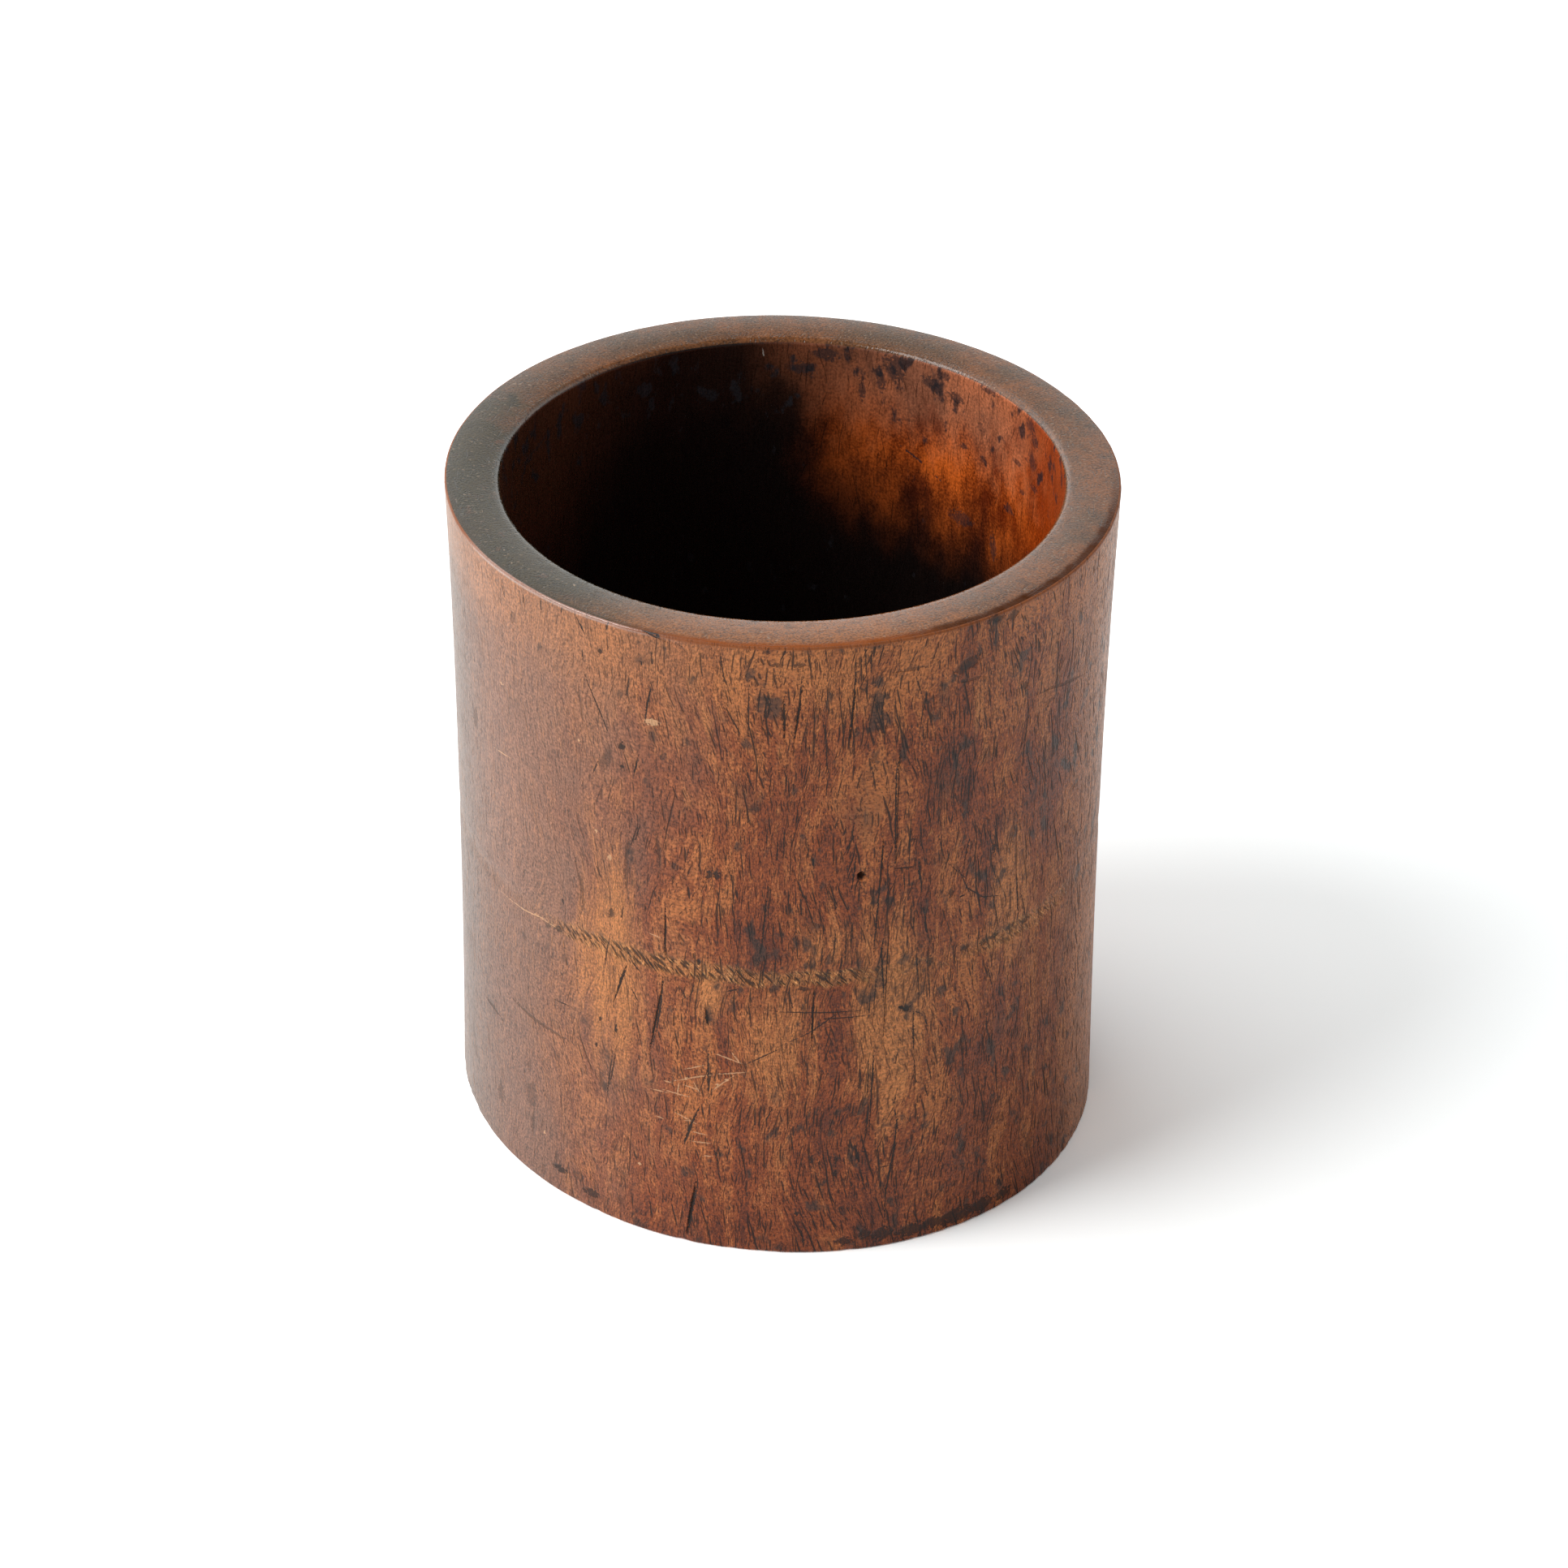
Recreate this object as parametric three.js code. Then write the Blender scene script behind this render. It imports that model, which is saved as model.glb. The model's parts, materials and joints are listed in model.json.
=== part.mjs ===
// A brush pot hollowed from one section of hardwood trunk, with the pith hole in its floor plugged.
// Millimetres, +Z up. The origin is the centre of the foot, on the surface that the pot stands on.

import * as THREE from 'three';

// Driving dimensions of the outside
const HEIGHT = 194.4;
const BASE_RADIUS = 89.8;
const WAIST_RADIUS = 88.7;
const WAIST_HEIGHT = 104;
const RIM_RADIUS = 90;
const BASE_EDGE_ROUND = 1.2;
const RIM_OUTER_ROUND = 1.6;
const RIM_INNER_ROUND = 2.6;
const RIM_CROWN = 0.5;

// The trunk is not quite round: it is wider across one diagonal, and more so at the base
const LONG_AXIS_ANGLE = THREE.MathUtils.degToRad(-40);
const OVAL_AT_BASE = 0.029;
const OVAL_AT_RIM = 0.007;

// Driving dimensions of the cavity, the floor and the foot
const MOUTH_RADIUS = 75.1;
const CAVITY_FOOT_RADIUS = 74;
const CAVITY_FILLET = 8;
const FLOOR_THICKNESS = 16;
const RECESS_DEPTH = 2.5;
const FOOT_RING_WIDTH = 17;
const FOOT_STEP_SLOPE = 1.5;

// Driving dimensions of the plug
const PLUG_BOTTOM_RADIUS = 23;
const PLUG_TOP_RADIUS = 22.2;
const PLUG_EDGE_BEVEL = 0.6;
const PLUG_GAP = 0.3;

// Fineness of the round shapes
const TURN_STEPS = 96;
const WALL_STEPS = 9;
const EDGE_STEPS = 4;
const FILLET_STEPS = 5;

const QUARTER_TURN = Math.PI / 2;

// Radius of the outer wall at a height: two shallow parabolas that meet at the waist
function outerRadius(z) {
  const above = z > WAIST_HEIGHT;
  const reach = above ? HEIGHT - WAIST_HEIGHT : WAIST_HEIGHT;
  const flare = (above ? RIM_RADIUS : BASE_RADIUS) - WAIST_RADIUS;
  return WAIST_RADIUS + flare * ((z - WAIST_HEIGHT) / reach) ** 2;
}

// Points of an arc in the radius and height plane, from one angle to another
function arc(centreRadius, centreHeight, round, from, to, steps) {
  const points = [];
  for (let i = 0; i <= steps; i++) {
    const angle = from + (to - from) * i / steps;
    const across = centreRadius + round * Math.cos(angle);
    const up = centreHeight + round * Math.sin(angle);
    points.push(new THREE.Vector2(across, up));
  }
  return points;
}

// The outer wall between its two rounded edges
function wallPoints() {
  const low = BASE_EDGE_ROUND;
  const high = HEIGHT - RIM_CROWN - RIM_OUTER_ROUND;
  const points = [];
  for (let i = 1; i < WALL_STEPS; i++) {
    const z = low + (high - low) * i / WALL_STEPS;
    points.push(new THREE.Vector2(outerRadius(z), z));
  }
  return points;
}

// Turn a profile in the radius and height plane about +Z
function turned(profile) {
  const geometry = new THREE.LatheGeometry(profile, TURN_STEPS);
  geometry.rotateX(QUARTER_TURN);
  return geometry;
}

// Push the outside out of round, fading to nothing at the cavity, so that the turned inside stays round
function pushOutOfRound(geometry) {
  const position = geometry.getAttribute('position');
  const point = new THREE.Vector3();
  for (let i = 0; i < position.count; i++) {
    point.fromBufferAttribute(position, i);
    const radius = Math.hypot(point.x, point.y);
    const wall = outerRadius(point.z) - MOUTH_RADIUS;
    const share = THREE.MathUtils.clamp((radius - MOUTH_RADIUS) / wall, 0, 1);
    const oval = THREE.MathUtils.lerp(OVAL_AT_BASE, OVAL_AT_RIM, point.z / HEIGHT);
    const turn = Math.atan2(point.y, point.x) - LONG_AXIS_ANGLE;
    const stretch = 1 + share * oval * Math.cos(2 * turn);
    position.setXYZ(i, point.x * stretch, point.y * stretch, point.z);
  }
  geometry.computeVertexNormals();
}

// Wall, mouth, floor and foot in one piece of wood
function potBody() {
  const footOuter = BASE_RADIUS - BASE_EDGE_ROUND;
  const footInner = BASE_RADIUS - FOOT_RING_WIDTH;
  const edgeHeight = HEIGHT - RIM_CROWN;
  const rimOuterCentre = RIM_RADIUS - RIM_OUTER_ROUND;
  const rimInnerCentre = MOUTH_RADIUS + RIM_INNER_ROUND;
  const filletCentre = CAVITY_FOOT_RADIUS - CAVITY_FILLET;
  const filletHeight = FLOOR_THICKNESS + CAVITY_FILLET;
  const holeBottom = PLUG_BOTTOM_RADIUS + PLUG_GAP;
  const holeTop = PLUG_TOP_RADIUS + PLUG_GAP;

  const profile = [
    new THREE.Vector2(holeBottom, RECESS_DEPTH),
    new THREE.Vector2(footInner - FOOT_STEP_SLOPE, RECESS_DEPTH),
    new THREE.Vector2(footInner, 0),
    ...arc(footOuter, BASE_EDGE_ROUND, BASE_EDGE_ROUND, -QUARTER_TURN, 0, EDGE_STEPS),
    ...wallPoints(),
    ...arc(rimOuterCentre, edgeHeight - RIM_OUTER_ROUND, RIM_OUTER_ROUND, 0, QUARTER_TURN, EDGE_STEPS),
    new THREE.Vector2((rimOuterCentre + rimInnerCentre) / 2, HEIGHT),
    ...arc(rimInnerCentre, edgeHeight - RIM_INNER_ROUND, RIM_INNER_ROUND, QUARTER_TURN, 2 * QUARTER_TURN, EDGE_STEPS),
    ...arc(filletCentre, filletHeight, CAVITY_FILLET, 0, -QUARTER_TURN, FILLET_STEPS),
    new THREE.Vector2(holeTop, FLOOR_THICKNESS),
    new THREE.Vector2(holeBottom, RECESS_DEPTH),
  ];
  const geometry = turned(profile);
  pushOutOfRound(geometry);
  return geometry;
}

// Tapered plug, driven up into the floor from beneath, with its two edges bevelled
function basePlug() {
  const profile = [
    new THREE.Vector2(0, RECESS_DEPTH),
    new THREE.Vector2(PLUG_BOTTOM_RADIUS - PLUG_EDGE_BEVEL, RECESS_DEPTH),
    new THREE.Vector2(PLUG_BOTTOM_RADIUS, RECESS_DEPTH + PLUG_EDGE_BEVEL),
    new THREE.Vector2(PLUG_TOP_RADIUS, FLOOR_THICKNESS - PLUG_EDGE_BEVEL),
    new THREE.Vector2(PLUG_TOP_RADIUS - PLUG_EDGE_BEVEL, FLOOR_THICKNESS),
    new THREE.Vector2(0, FLOOR_THICKNESS),
  ];
  return turned(profile);
}

const potWood = new THREE.MeshStandardMaterial({ color: '#7f4d3b', roughness: 0.38, metalness: 0 });
const plugWood = new THREE.MeshStandardMaterial({ color: '#6d4434', roughness: 0.5, metalness: 0 });

function named(name, geometry, material) {
  const mesh = new THREE.Mesh(geometry, material);
  mesh.name = name;
  return mesh;
}

const brushPot = new THREE.Group();
brushPot.add(named('pot_body', potBody(), potWood));
brushPot.add(named('base_plug', basePlug(), plugWood));

export default brushPot;
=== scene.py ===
# %% [markdown]
# # A hardwood brush pot
#
# The real object is one hollowed section of dense, waxed rosewood with a round plug in its floor. Nothing
# on it moves. What makes it look real is its surface: dark checks and pores that lean with the grain, a
# pale growth ring half way up, end grain on the flat mouth, and a dark, glossy orange-red inside.
#
# The pot is turned here from one profile in code, so that every check and chip can be cut into the mesh
# where it belongs. The finish is made of shader nodes only, so it has no picture files.

# %% Load the frame
import math

import bpy
import numpy as np
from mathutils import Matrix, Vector
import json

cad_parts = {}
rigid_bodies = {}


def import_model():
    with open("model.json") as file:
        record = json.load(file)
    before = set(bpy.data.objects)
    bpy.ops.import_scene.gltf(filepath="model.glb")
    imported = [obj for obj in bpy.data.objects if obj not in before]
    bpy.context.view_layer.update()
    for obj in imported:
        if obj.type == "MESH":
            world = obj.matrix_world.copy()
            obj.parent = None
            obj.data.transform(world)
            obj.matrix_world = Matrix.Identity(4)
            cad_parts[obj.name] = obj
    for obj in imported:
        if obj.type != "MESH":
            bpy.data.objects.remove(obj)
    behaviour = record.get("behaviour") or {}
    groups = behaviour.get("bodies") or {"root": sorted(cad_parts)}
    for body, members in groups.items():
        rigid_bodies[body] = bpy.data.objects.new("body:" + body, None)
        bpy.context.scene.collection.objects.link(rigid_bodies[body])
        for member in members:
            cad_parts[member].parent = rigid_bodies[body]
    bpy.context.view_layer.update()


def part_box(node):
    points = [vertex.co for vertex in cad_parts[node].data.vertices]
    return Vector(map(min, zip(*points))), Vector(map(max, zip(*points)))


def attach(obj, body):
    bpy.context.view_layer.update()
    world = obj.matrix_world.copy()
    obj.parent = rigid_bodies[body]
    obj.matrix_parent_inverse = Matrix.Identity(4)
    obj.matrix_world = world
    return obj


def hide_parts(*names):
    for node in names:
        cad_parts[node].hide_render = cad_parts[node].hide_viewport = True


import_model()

MM = 0.001
pot_low, pot_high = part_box("pot_body")
plug_low, plug_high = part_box("base_plug")
HEIGHT = (pot_high.z - pot_low.z) / MM
print("pot height, mm:", round(HEIGHT, 1))

# %% [markdown]
# ## Camera
#
# The photograph is taken from in front and 33 degrees above, from a good way off with a long lens, and it
# is turned by under a degree. The same lens, distance and turn are set here. The aim is a little beside
# the pot's middle, which puts the pot where it stands in the frame without any lens shift.

# %% Camera
PHOTO_SIDE = 1932
FOCAL_PIXELS = 5609
SENSOR_WIDTH = 36.0
CAMERA_DISTANCE = 1265.5 * MM
CAMERA_ELEVATION = math.radians(33.30)
CAMERA_ROLL = math.radians(0.70)
AIM_RIGHT = 1.4 * MM
AIM_DOWN = 2.2 * MM

middle = Vector((0, 0, HEIGHT * MM / 2))
camera_place = middle + CAMERA_DISTANCE * Vector((0, -math.cos(CAMERA_ELEVATION), math.sin(CAMERA_ELEVATION)))


def camera_axes():
    """The camera's own right, up and forward directions."""
    ahead = (middle - camera_place).normalized()
    right = ahead.cross(Vector((0, 0, 1))).normalized()
    up = right.cross(ahead)
    aim = middle + AIM_RIGHT * right - AIM_DOWN * up
    ahead = (aim - camera_place).normalized()
    right = ahead.cross(Vector((0, 0, 1))).normalized()
    up = right.cross(ahead)
    turned_right = math.cos(CAMERA_ROLL) * right + math.sin(CAMERA_ROLL) * up
    turned_up = math.cos(CAMERA_ROLL) * up - math.sin(CAMERA_ROLL) * right
    return turned_right, turned_up, ahead


camera_right, camera_up, camera_ahead = camera_axes()
camera_data = bpy.data.cameras.new("camera")
camera_data.sensor_width = SENSOR_WIDTH
camera_data.lens = FOCAL_PIXELS / PHOTO_SIDE * SENSOR_WIDTH
camera_data.clip_start = 0.05
camera = bpy.data.objects.new("camera", camera_data)
for row in range(3):
    camera.matrix_world[row] = (camera_right[row], camera_up[row], -camera_ahead[row], camera_place[row])
bpy.context.scene.collection.objects.link(camera)
bpy.context.scene.camera = camera
print("lens, mm:", round(camera_data.lens, 1))

# %% [markdown]
# ## The turned shape
#
# The wall is drawn in to a waist by two shallow parabolas, and the trunk is a little wider across one
# diagonal, most of all at the base. These few formulas are the whole outline, and every later step asks
# them where the surface is.

# %% Outline of the wall
BASE_RADIUS = 89.8
WAIST_RADIUS = 88.7
WAIST_HEIGHT = 104
RIM_RADIUS = 90
MOUTH_RADIUS = 75.1
LONG_AXIS_ANGLE = math.radians(-40)
OVAL_AT_BASE = 0.029
OVAL_AT_RIM = 0.007
FRONT = math.radians(-90)
RAY_REACH = 0.15
RAY_STEPS = 6001


def outer_radius(z):
    """Radius of the outer wall at heights z, all in millimetres."""
    above = z > WAIST_HEIGHT
    reach = np.where(above, HEIGHT - WAIST_HEIGHT, WAIST_HEIGHT)
    flare = np.where(above, RIM_RADIUS, BASE_RADIUS) - WAIST_RADIUS
    return WAIST_RADIUS + flare * ((z - WAIST_HEIGHT) / reach) ** 2


def oval(angle, radius, z):
    """How far out of round a point is: nothing at the cavity, all of it at the outer wall."""
    share = np.clip((radius - MOUTH_RADIUS) / (outer_radius(z) - MOUTH_RADIUS), 0, 1)
    amount = OVAL_AT_BASE + (OVAL_AT_RIM - OVAL_AT_BASE) * z / HEIGHT
    return 1 + share * amount * np.cos(2 * (angle - LONG_AXIS_ANGLE))


def along_ray(x, y):
    """Points along the ray through a pixel of the photograph, and their turn round the pot's axis."""
    across = (x - PHOTO_SIDE / 2) / FOCAL_PIXELS
    down = (y - PHOTO_SIDE / 2) / FOCAL_PIXELS
    ray = np.array(camera_ahead + across * camera_right - down * camera_up)
    steps = np.linspace(CAMERA_DISTANCE - RAY_REACH, CAMERA_DISTANCE + RAY_REACH, RAY_STEPS)
    points = (np.array(camera_place) + steps[:, None] * ray) / MM
    return points, np.arctan2(points[:, 1], points[:, 0])


def on_wall(x, y):
    """Where a pixel lies on the outer wall: mm round from the front, and up."""
    points, angle = along_ray(x, y)
    wall = outer_radius(points[:, 2])
    inside = np.hypot(points[:, 0], points[:, 1]) < wall * oval(angle, wall, points[:, 2])
    first = np.argmax(inside & (points[:, 2] < HEIGHT))
    return RIM_RADIUS * (angle[first] - FRONT), points[first, 2]


KNOT_HOLE = on_wall(1061, 1079)
print("knot hole, mm round from the front and up:", np.round(KNOT_HOLE, 1))

# %% [markdown]
# ## Checks
#
# Checks are the short splits that run with the grain. The large ones are placed by their top and bottom
# ends in the photograph, and each is cut into the mesh as a groove. The grid of the mesh is made fine
# beside each one, and its columns lean with it, so the groove keeps clean sides.

# %% Places of the large checks
DEEP_CHECKS = {
    "rim_split": ((812, 757), (818, 790), 0.55, 0.2),
    "wavy_upper": ((820, 1118), (819, 1186), 0.6, 0.3),
    "wavy_lower": ((818, 1205), (800, 1298), 0.7, 0.35),
    "left_of_ring": ((774, 1186), (757, 1233), 0.5, 0.2),
    "short_bold": ((869, 1240), (873, 1264), 0.9, 0.4),
    "below_ring": ((1003, 1215), (1001, 1285), 0.5, 0.25),
    "upper_pair_left": ((966, 858), (967, 912), 0.7, 0.35),
    "upper_pair_right": ((990, 842), (977, 925), 0.7, 0.35),
    "upper_right": ((1055, 840), (1048, 915), 0.6, 0.3),
    "long_right": ((1109, 918), (1104, 1078), 0.35, 0.15),
    "right_through_ring": ((1097, 1120), (1088, 1290), 0.35, 0.15),
    "beside_knot": ((1089, 1032), (1084, 1100), 0.5, 0.2),
    "base_split": ((858, 1452), (845, 1526), 0.9, 0.6),
}


def as_line(top, bottom):
    """Middle, slope and half length of a check, on the unrolled wall."""
    top_round, top_up = on_wall(*top)
    low_round, low_up = on_wall(*bottom)
    slope = (top_round - low_round) / (top_up - low_up)
    return (top_round + low_round) / 2, (top_up + low_up) / 2, slope, (top_up - low_up) / 2


deep_lines = {}
for name, (top, bottom, width, depth) in DEEP_CHECKS.items():
    deep_lines[name] = (*as_line(top, bottom), width, depth)
    print(name, "length, mm:", round(2 * deep_lines[name][3], 1))

# %% Grid columns and rows
TURN_COLUMNS = 400
WALL_ROWS = 112
FINE_OFFSETS = (-1.3, -0.75, -0.4, -0.18, 0, 0.18, 0.4, 0.75, 1.3)
LEAST_GAP = 0.12


def spread(places, spacing_least):
    """Sorted places with near twins dropped."""
    kept = []
    for place in sorted(places):
        if not kept or place - kept[-1] > spacing_least:
            kept.append(place)
    return np.array(kept)


around_full = 2 * math.pi * RIM_RADIUS
even = np.linspace(-around_full / 2, around_full / 2, TURN_COLUMNS, endpoint=False)
fine = [line[0] + offset for line in deep_lines.values() for offset in FINE_OFFSETS]
fine += [KNOT_HOLE[0] + offset for offset in FINE_OFFSETS]
columns = spread(list(even) + fine, LEAST_GAP)
print("columns:", len(columns))

# %% [markdown]
# ## Profile
#
# The profile goes once round the section of the wall: up the outside, over the mouth, down the inside,
# across the floor, through the plug's hole and back under the foot. Each stretch keeps its own name, which
# later picks its finish.

# %% Profile stations
BASE_EDGE_ROUND = 0.7
RIM_OUTER_ROUND = 0.55
RIM_INNER_ROUND = 1.8
CREST_RADIUS = 85.3
MOUTH_DISH = 0.004
MOUTH_STATIONS = 13
CAVITY_FOOT_RADIUS = 74
CAVITY_FILLET = 8
FLOOR_THICKNESS = plug_high.z / MM
RECESS_DEPTH = plug_low.z / MM
FOOT_RING_WIDTH = 17
FOOT_STEP_SLOPE = 1.5
PLUG_RADIUS = (plug_high.x - plug_low.x) / 2 / MM
PLUG_TAPER = 0.8
PLUG_GAP = 0.3


def mouth_height(radius):
    """Height of the mouth, a shallow dish with its crest near the outer edge."""
    return HEIGHT - MOUTH_DISH * (radius - CREST_RADIUS) ** 2


def arc(centre_radius, centre_up, size, start, stop, steps):
    """Radii and heights along an arc, angles in degrees."""
    angle = np.radians(np.linspace(start, stop, steps + 1))
    return np.column_stack([centre_radius + size * np.cos(angle), centre_up + size * np.sin(angle)])


def straight(start, stop, steps):
    """Radii and heights along a straight stretch."""
    share = np.linspace(0, 1, steps + 1)[:, None]
    return (1 - share) * np.array(start, float) + share * np.array(stop, float)


def wall_rows():
    """Rows of the outer wall, finer at the knot hole."""
    low = BASE_EDGE_ROUND
    high = outer_edge - RIM_OUTER_ROUND
    even_rows = np.linspace(low, high, WALL_ROWS)[1:-1]
    rows = spread(list(even_rows) + [KNOT_HOLE[1] + offset for offset in FINE_OFFSETS], LEAST_GAP)
    return np.column_stack([outer_radius(rows), rows])


def mouth_rows():
    """The mouth between its two rounded edges."""
    radii = np.linspace(RIM_RADIUS - RIM_OUTER_ROUND, MOUTH_RADIUS + RIM_INNER_ROUND, MOUTH_STATIONS)
    return np.column_stack([radii, mouth_height(radii)])


outer_edge = mouth_height(RIM_RADIUS - RIM_OUTER_ROUND)
inner_edge = mouth_height(MOUTH_RADIUS + RIM_INNER_ROUND)
hole_low = PLUG_RADIUS + PLUG_GAP
hole_high = hole_low - PLUG_TAPER
foot_inside = BASE_RADIUS - FOOT_RING_WIDTH
fillet_middle = CAVITY_FOOT_RADIUS - CAVITY_FILLET
fillet_up = FLOOR_THICKNESS + CAVITY_FILLET
STRETCHES = {
    "outside": [
        arc(BASE_RADIUS - BASE_EDGE_ROUND, BASE_EDGE_ROUND, BASE_EDGE_ROUND, -90, 0, 5),
        wall_rows(),
        arc(RIM_RADIUS - RIM_OUTER_ROUND, outer_edge - RIM_OUTER_ROUND, RIM_OUTER_ROUND, 0, 90, 6),
    ],
    "mouth": [
        mouth_rows(),
        arc(MOUTH_RADIUS + RIM_INNER_ROUND, inner_edge - RIM_INNER_ROUND, RIM_INNER_ROUND, 90, 150, 5),
    ],
    "inside": [
        arc(MOUTH_RADIUS + RIM_INNER_ROUND, inner_edge - RIM_INNER_ROUND, RIM_INNER_ROUND, 150, 180, 2),
        straight((MOUTH_RADIUS, inner_edge - RIM_INNER_ROUND), (CAVITY_FOOT_RADIUS, fillet_up), 26),
        arc(fillet_middle, fillet_up, CAVITY_FILLET, 0, -90, 6),
        straight((fillet_middle, FLOOR_THICKNESS), (hole_high, FLOOR_THICKNESS), 6),
    ],
    "under": [
        straight((hole_high, FLOOR_THICKNESS), (hole_low, RECESS_DEPTH), 2),
        straight((hole_low, RECESS_DEPTH), (foot_inside - FOOT_STEP_SLOPE, RECESS_DEPTH), 6),
        straight((foot_inside - FOOT_STEP_SLOPE, RECESS_DEPTH), (foot_inside, 0), 1),
        straight((foot_inside, 0), (BASE_RADIUS - BASE_EDGE_ROUND, 0), 3),
    ],
}
FINISHES = list(STRETCHES)
SAME_PLACE = 1e-6


def whole_profile():
    """One closed loop of stations, with the finish of the band that follows each station."""
    stations, bands = [], []
    for number, pieces in enumerate(STRETCHES.values()):
        for piece in pieces:
            for point in piece:
                if stations and np.hypot(*(point - stations[-1])) < SAME_PLACE:
                    bands[-1] = number
                    continue
                stations.append(point)
                bands.append(number)
    if np.hypot(*(stations[0] - stations[-1])) < SAME_PLACE:
        stations.pop()
        bands.pop()
    return np.array(stations), np.array(bands)


stations, bands = whole_profile()
print("stations:", len(stations), "faces:", len(stations) * len(columns))

# %% [markdown]
# ## Grooves, nicks and hand-made unevenness
#
# A turned pot that old isn't a perfect solid of revolution. Each effect here is a small distance by which
# the surface lies back, in millimetres: slow waves left by scraping, the shallow growth ring, the knot
# hole, the grooves of the checks, and nicks along the two edges.

# %% How far the surface lies back
RING_HEIGHT = 91.5
RING_DEPTH = 0.28
RING_SPREAD = 2.6
KNOT_RADIUS = 1.35
KNOT_DEPTH = 1.7
LEAN_REACH = 9
LEAN_FADE = 14
SCRAPING_DEPTH = 0.03
NICK_COUNT = 150
NICK_REACH = (1.2, 3.8)
RIM_NICKS = (HEIGHT, 11, 0.08)
FOOT_NICKS = (0, 12, 0.35)
EDGE_REACH = 2.2
CAVITY_WAVE_DEPTH = 0.12


def near(distance, reach):
    """One at zero, falling smoothly to nothing at the reach."""
    return np.clip(1 - (distance / reach) ** 2, 0, 1) ** 2


def lean_shift(around, up):
    """How far each point moves round, so that the columns of the grid run along the checks."""
    shift = np.zeros_like(around)
    for middle_round, middle_up, slope, half, *_ in deep_lines.values():
        beyond = np.maximum(np.abs(up - middle_up) - half, 0)
        shift += near(around - middle_round, LEAN_REACH) * near(beyond, LEAN_FADE) * slope * (up - middle_up)
    return shift


def check_grooves(around, up):
    """Depth of the large checks."""
    depths = np.zeros_like(around)
    for middle_round, middle_up, slope, half, width, depth in deep_lines.values():
        along = (up - middle_up) / half
        narrowing = np.sqrt(np.clip(1 - along ** 2, 0, 1))
        offset = around - middle_round - slope * (up - middle_up)
        side = np.clip(1 - np.abs(offset) / (width * 0.5 + 1e-6), 0, 1)
        depths = np.maximum(depths, depth * side * narrowing)
    return depths


def scraping(around, up):
    """Slow waves of a tenth of a millimetre, whole in number round the pot."""
    turn = around / RIM_RADIUS
    waves = np.sin(7 * turn + up / 31) + np.sin(11 * turn - up / 19 + 2)
    waves = waves + 0.6 * np.sin(23 * turn + up / 47 + 4)
    return SCRAPING_DEPTH * (2.6 + waves)


def edge_nicks(around, up, edge_height, seed, depth_most):
    """Small dents scattered along an edge, from a seeded draw."""
    draw = np.random.default_rng(seed)
    depths = np.zeros_like(around)
    for _ in range(NICK_COUNT):
        place = draw.uniform(-around_full / 2, around_full / 2)
        reach = draw.uniform(*NICK_REACH)
        depth = depth_most * draw.uniform(0.15, 1) ** 2
        depths = np.maximum(depths, depth * near(around - place, reach))
    return depths * near(up - edge_height, EDGE_REACH)


def outside_lies_back(around, up):
    """All of the outer wall's relief together."""
    ring = RING_DEPTH * np.exp(-((up - RING_HEIGHT) / RING_SPREAD) ** 2) * (0.8 + 0.2 * np.sin(around / 9))
    knot = KNOT_DEPTH * near(np.hypot(around - KNOT_HOLE[0], up - KNOT_HOLE[1]), KNOT_RADIUS)
    nicks = edge_nicks(around, up, *RIM_NICKS) + edge_nicks(around, up, *FOOT_NICKS)
    return scraping(around, up) + ring + knot + nicks + check_grooves(around, up)


print("grooves:", len(deep_lines), "nicks on each edge:", NICK_COUNT)

# %% Points of the pot
column_grid, station_number = np.meshgrid(columns, np.arange(len(stations)))
radius_grid = stations[station_number, 0]
up_grid = stations[station_number, 1]
wall_share = np.clip((radius_grid - MOUTH_RADIUS) / (outer_radius(up_grid) - MOUTH_RADIUS), 0, 1)
around_grid = column_grid + wall_share * lean_shift(column_grid, up_grid)
angle_grid = FRONT + around_grid / RIM_RADIUS

outer_relief = outside_lies_back(around_grid, up_grid) * np.clip(4 * wall_share - 3, 0, 1)
cavity_wave = CAVITY_WAVE_DEPTH * (1 + np.sin(19 * angle_grid + up_grid / 23))
inner_relief = np.where(wall_share <= 0, cavity_wave, 0)
inner_relief = inner_relief * np.clip((up_grid - fillet_up) / 20, 0, 1)
inner_relief = inner_relief * np.clip((HEIGHT - up_grid) / 12, 0, 1)
radius_final = radius_grid * oval(angle_grid, radius_grid, up_grid) - outer_relief + inner_relief
points = np.stack([radius_final * np.cos(angle_grid), radius_final * np.sin(angle_grid), up_grid], axis=-1)
print("points:", points.shape)

# %% [markdown]
# ## Patches
#
# Dense rosewood has soft dark stains and pale islands, from a few millimetres to a few centimetres. Those
# that stand out in the photograph are kept as two values on the points of the mesh, which the finish reads
# and breaks up with noise.

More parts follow.
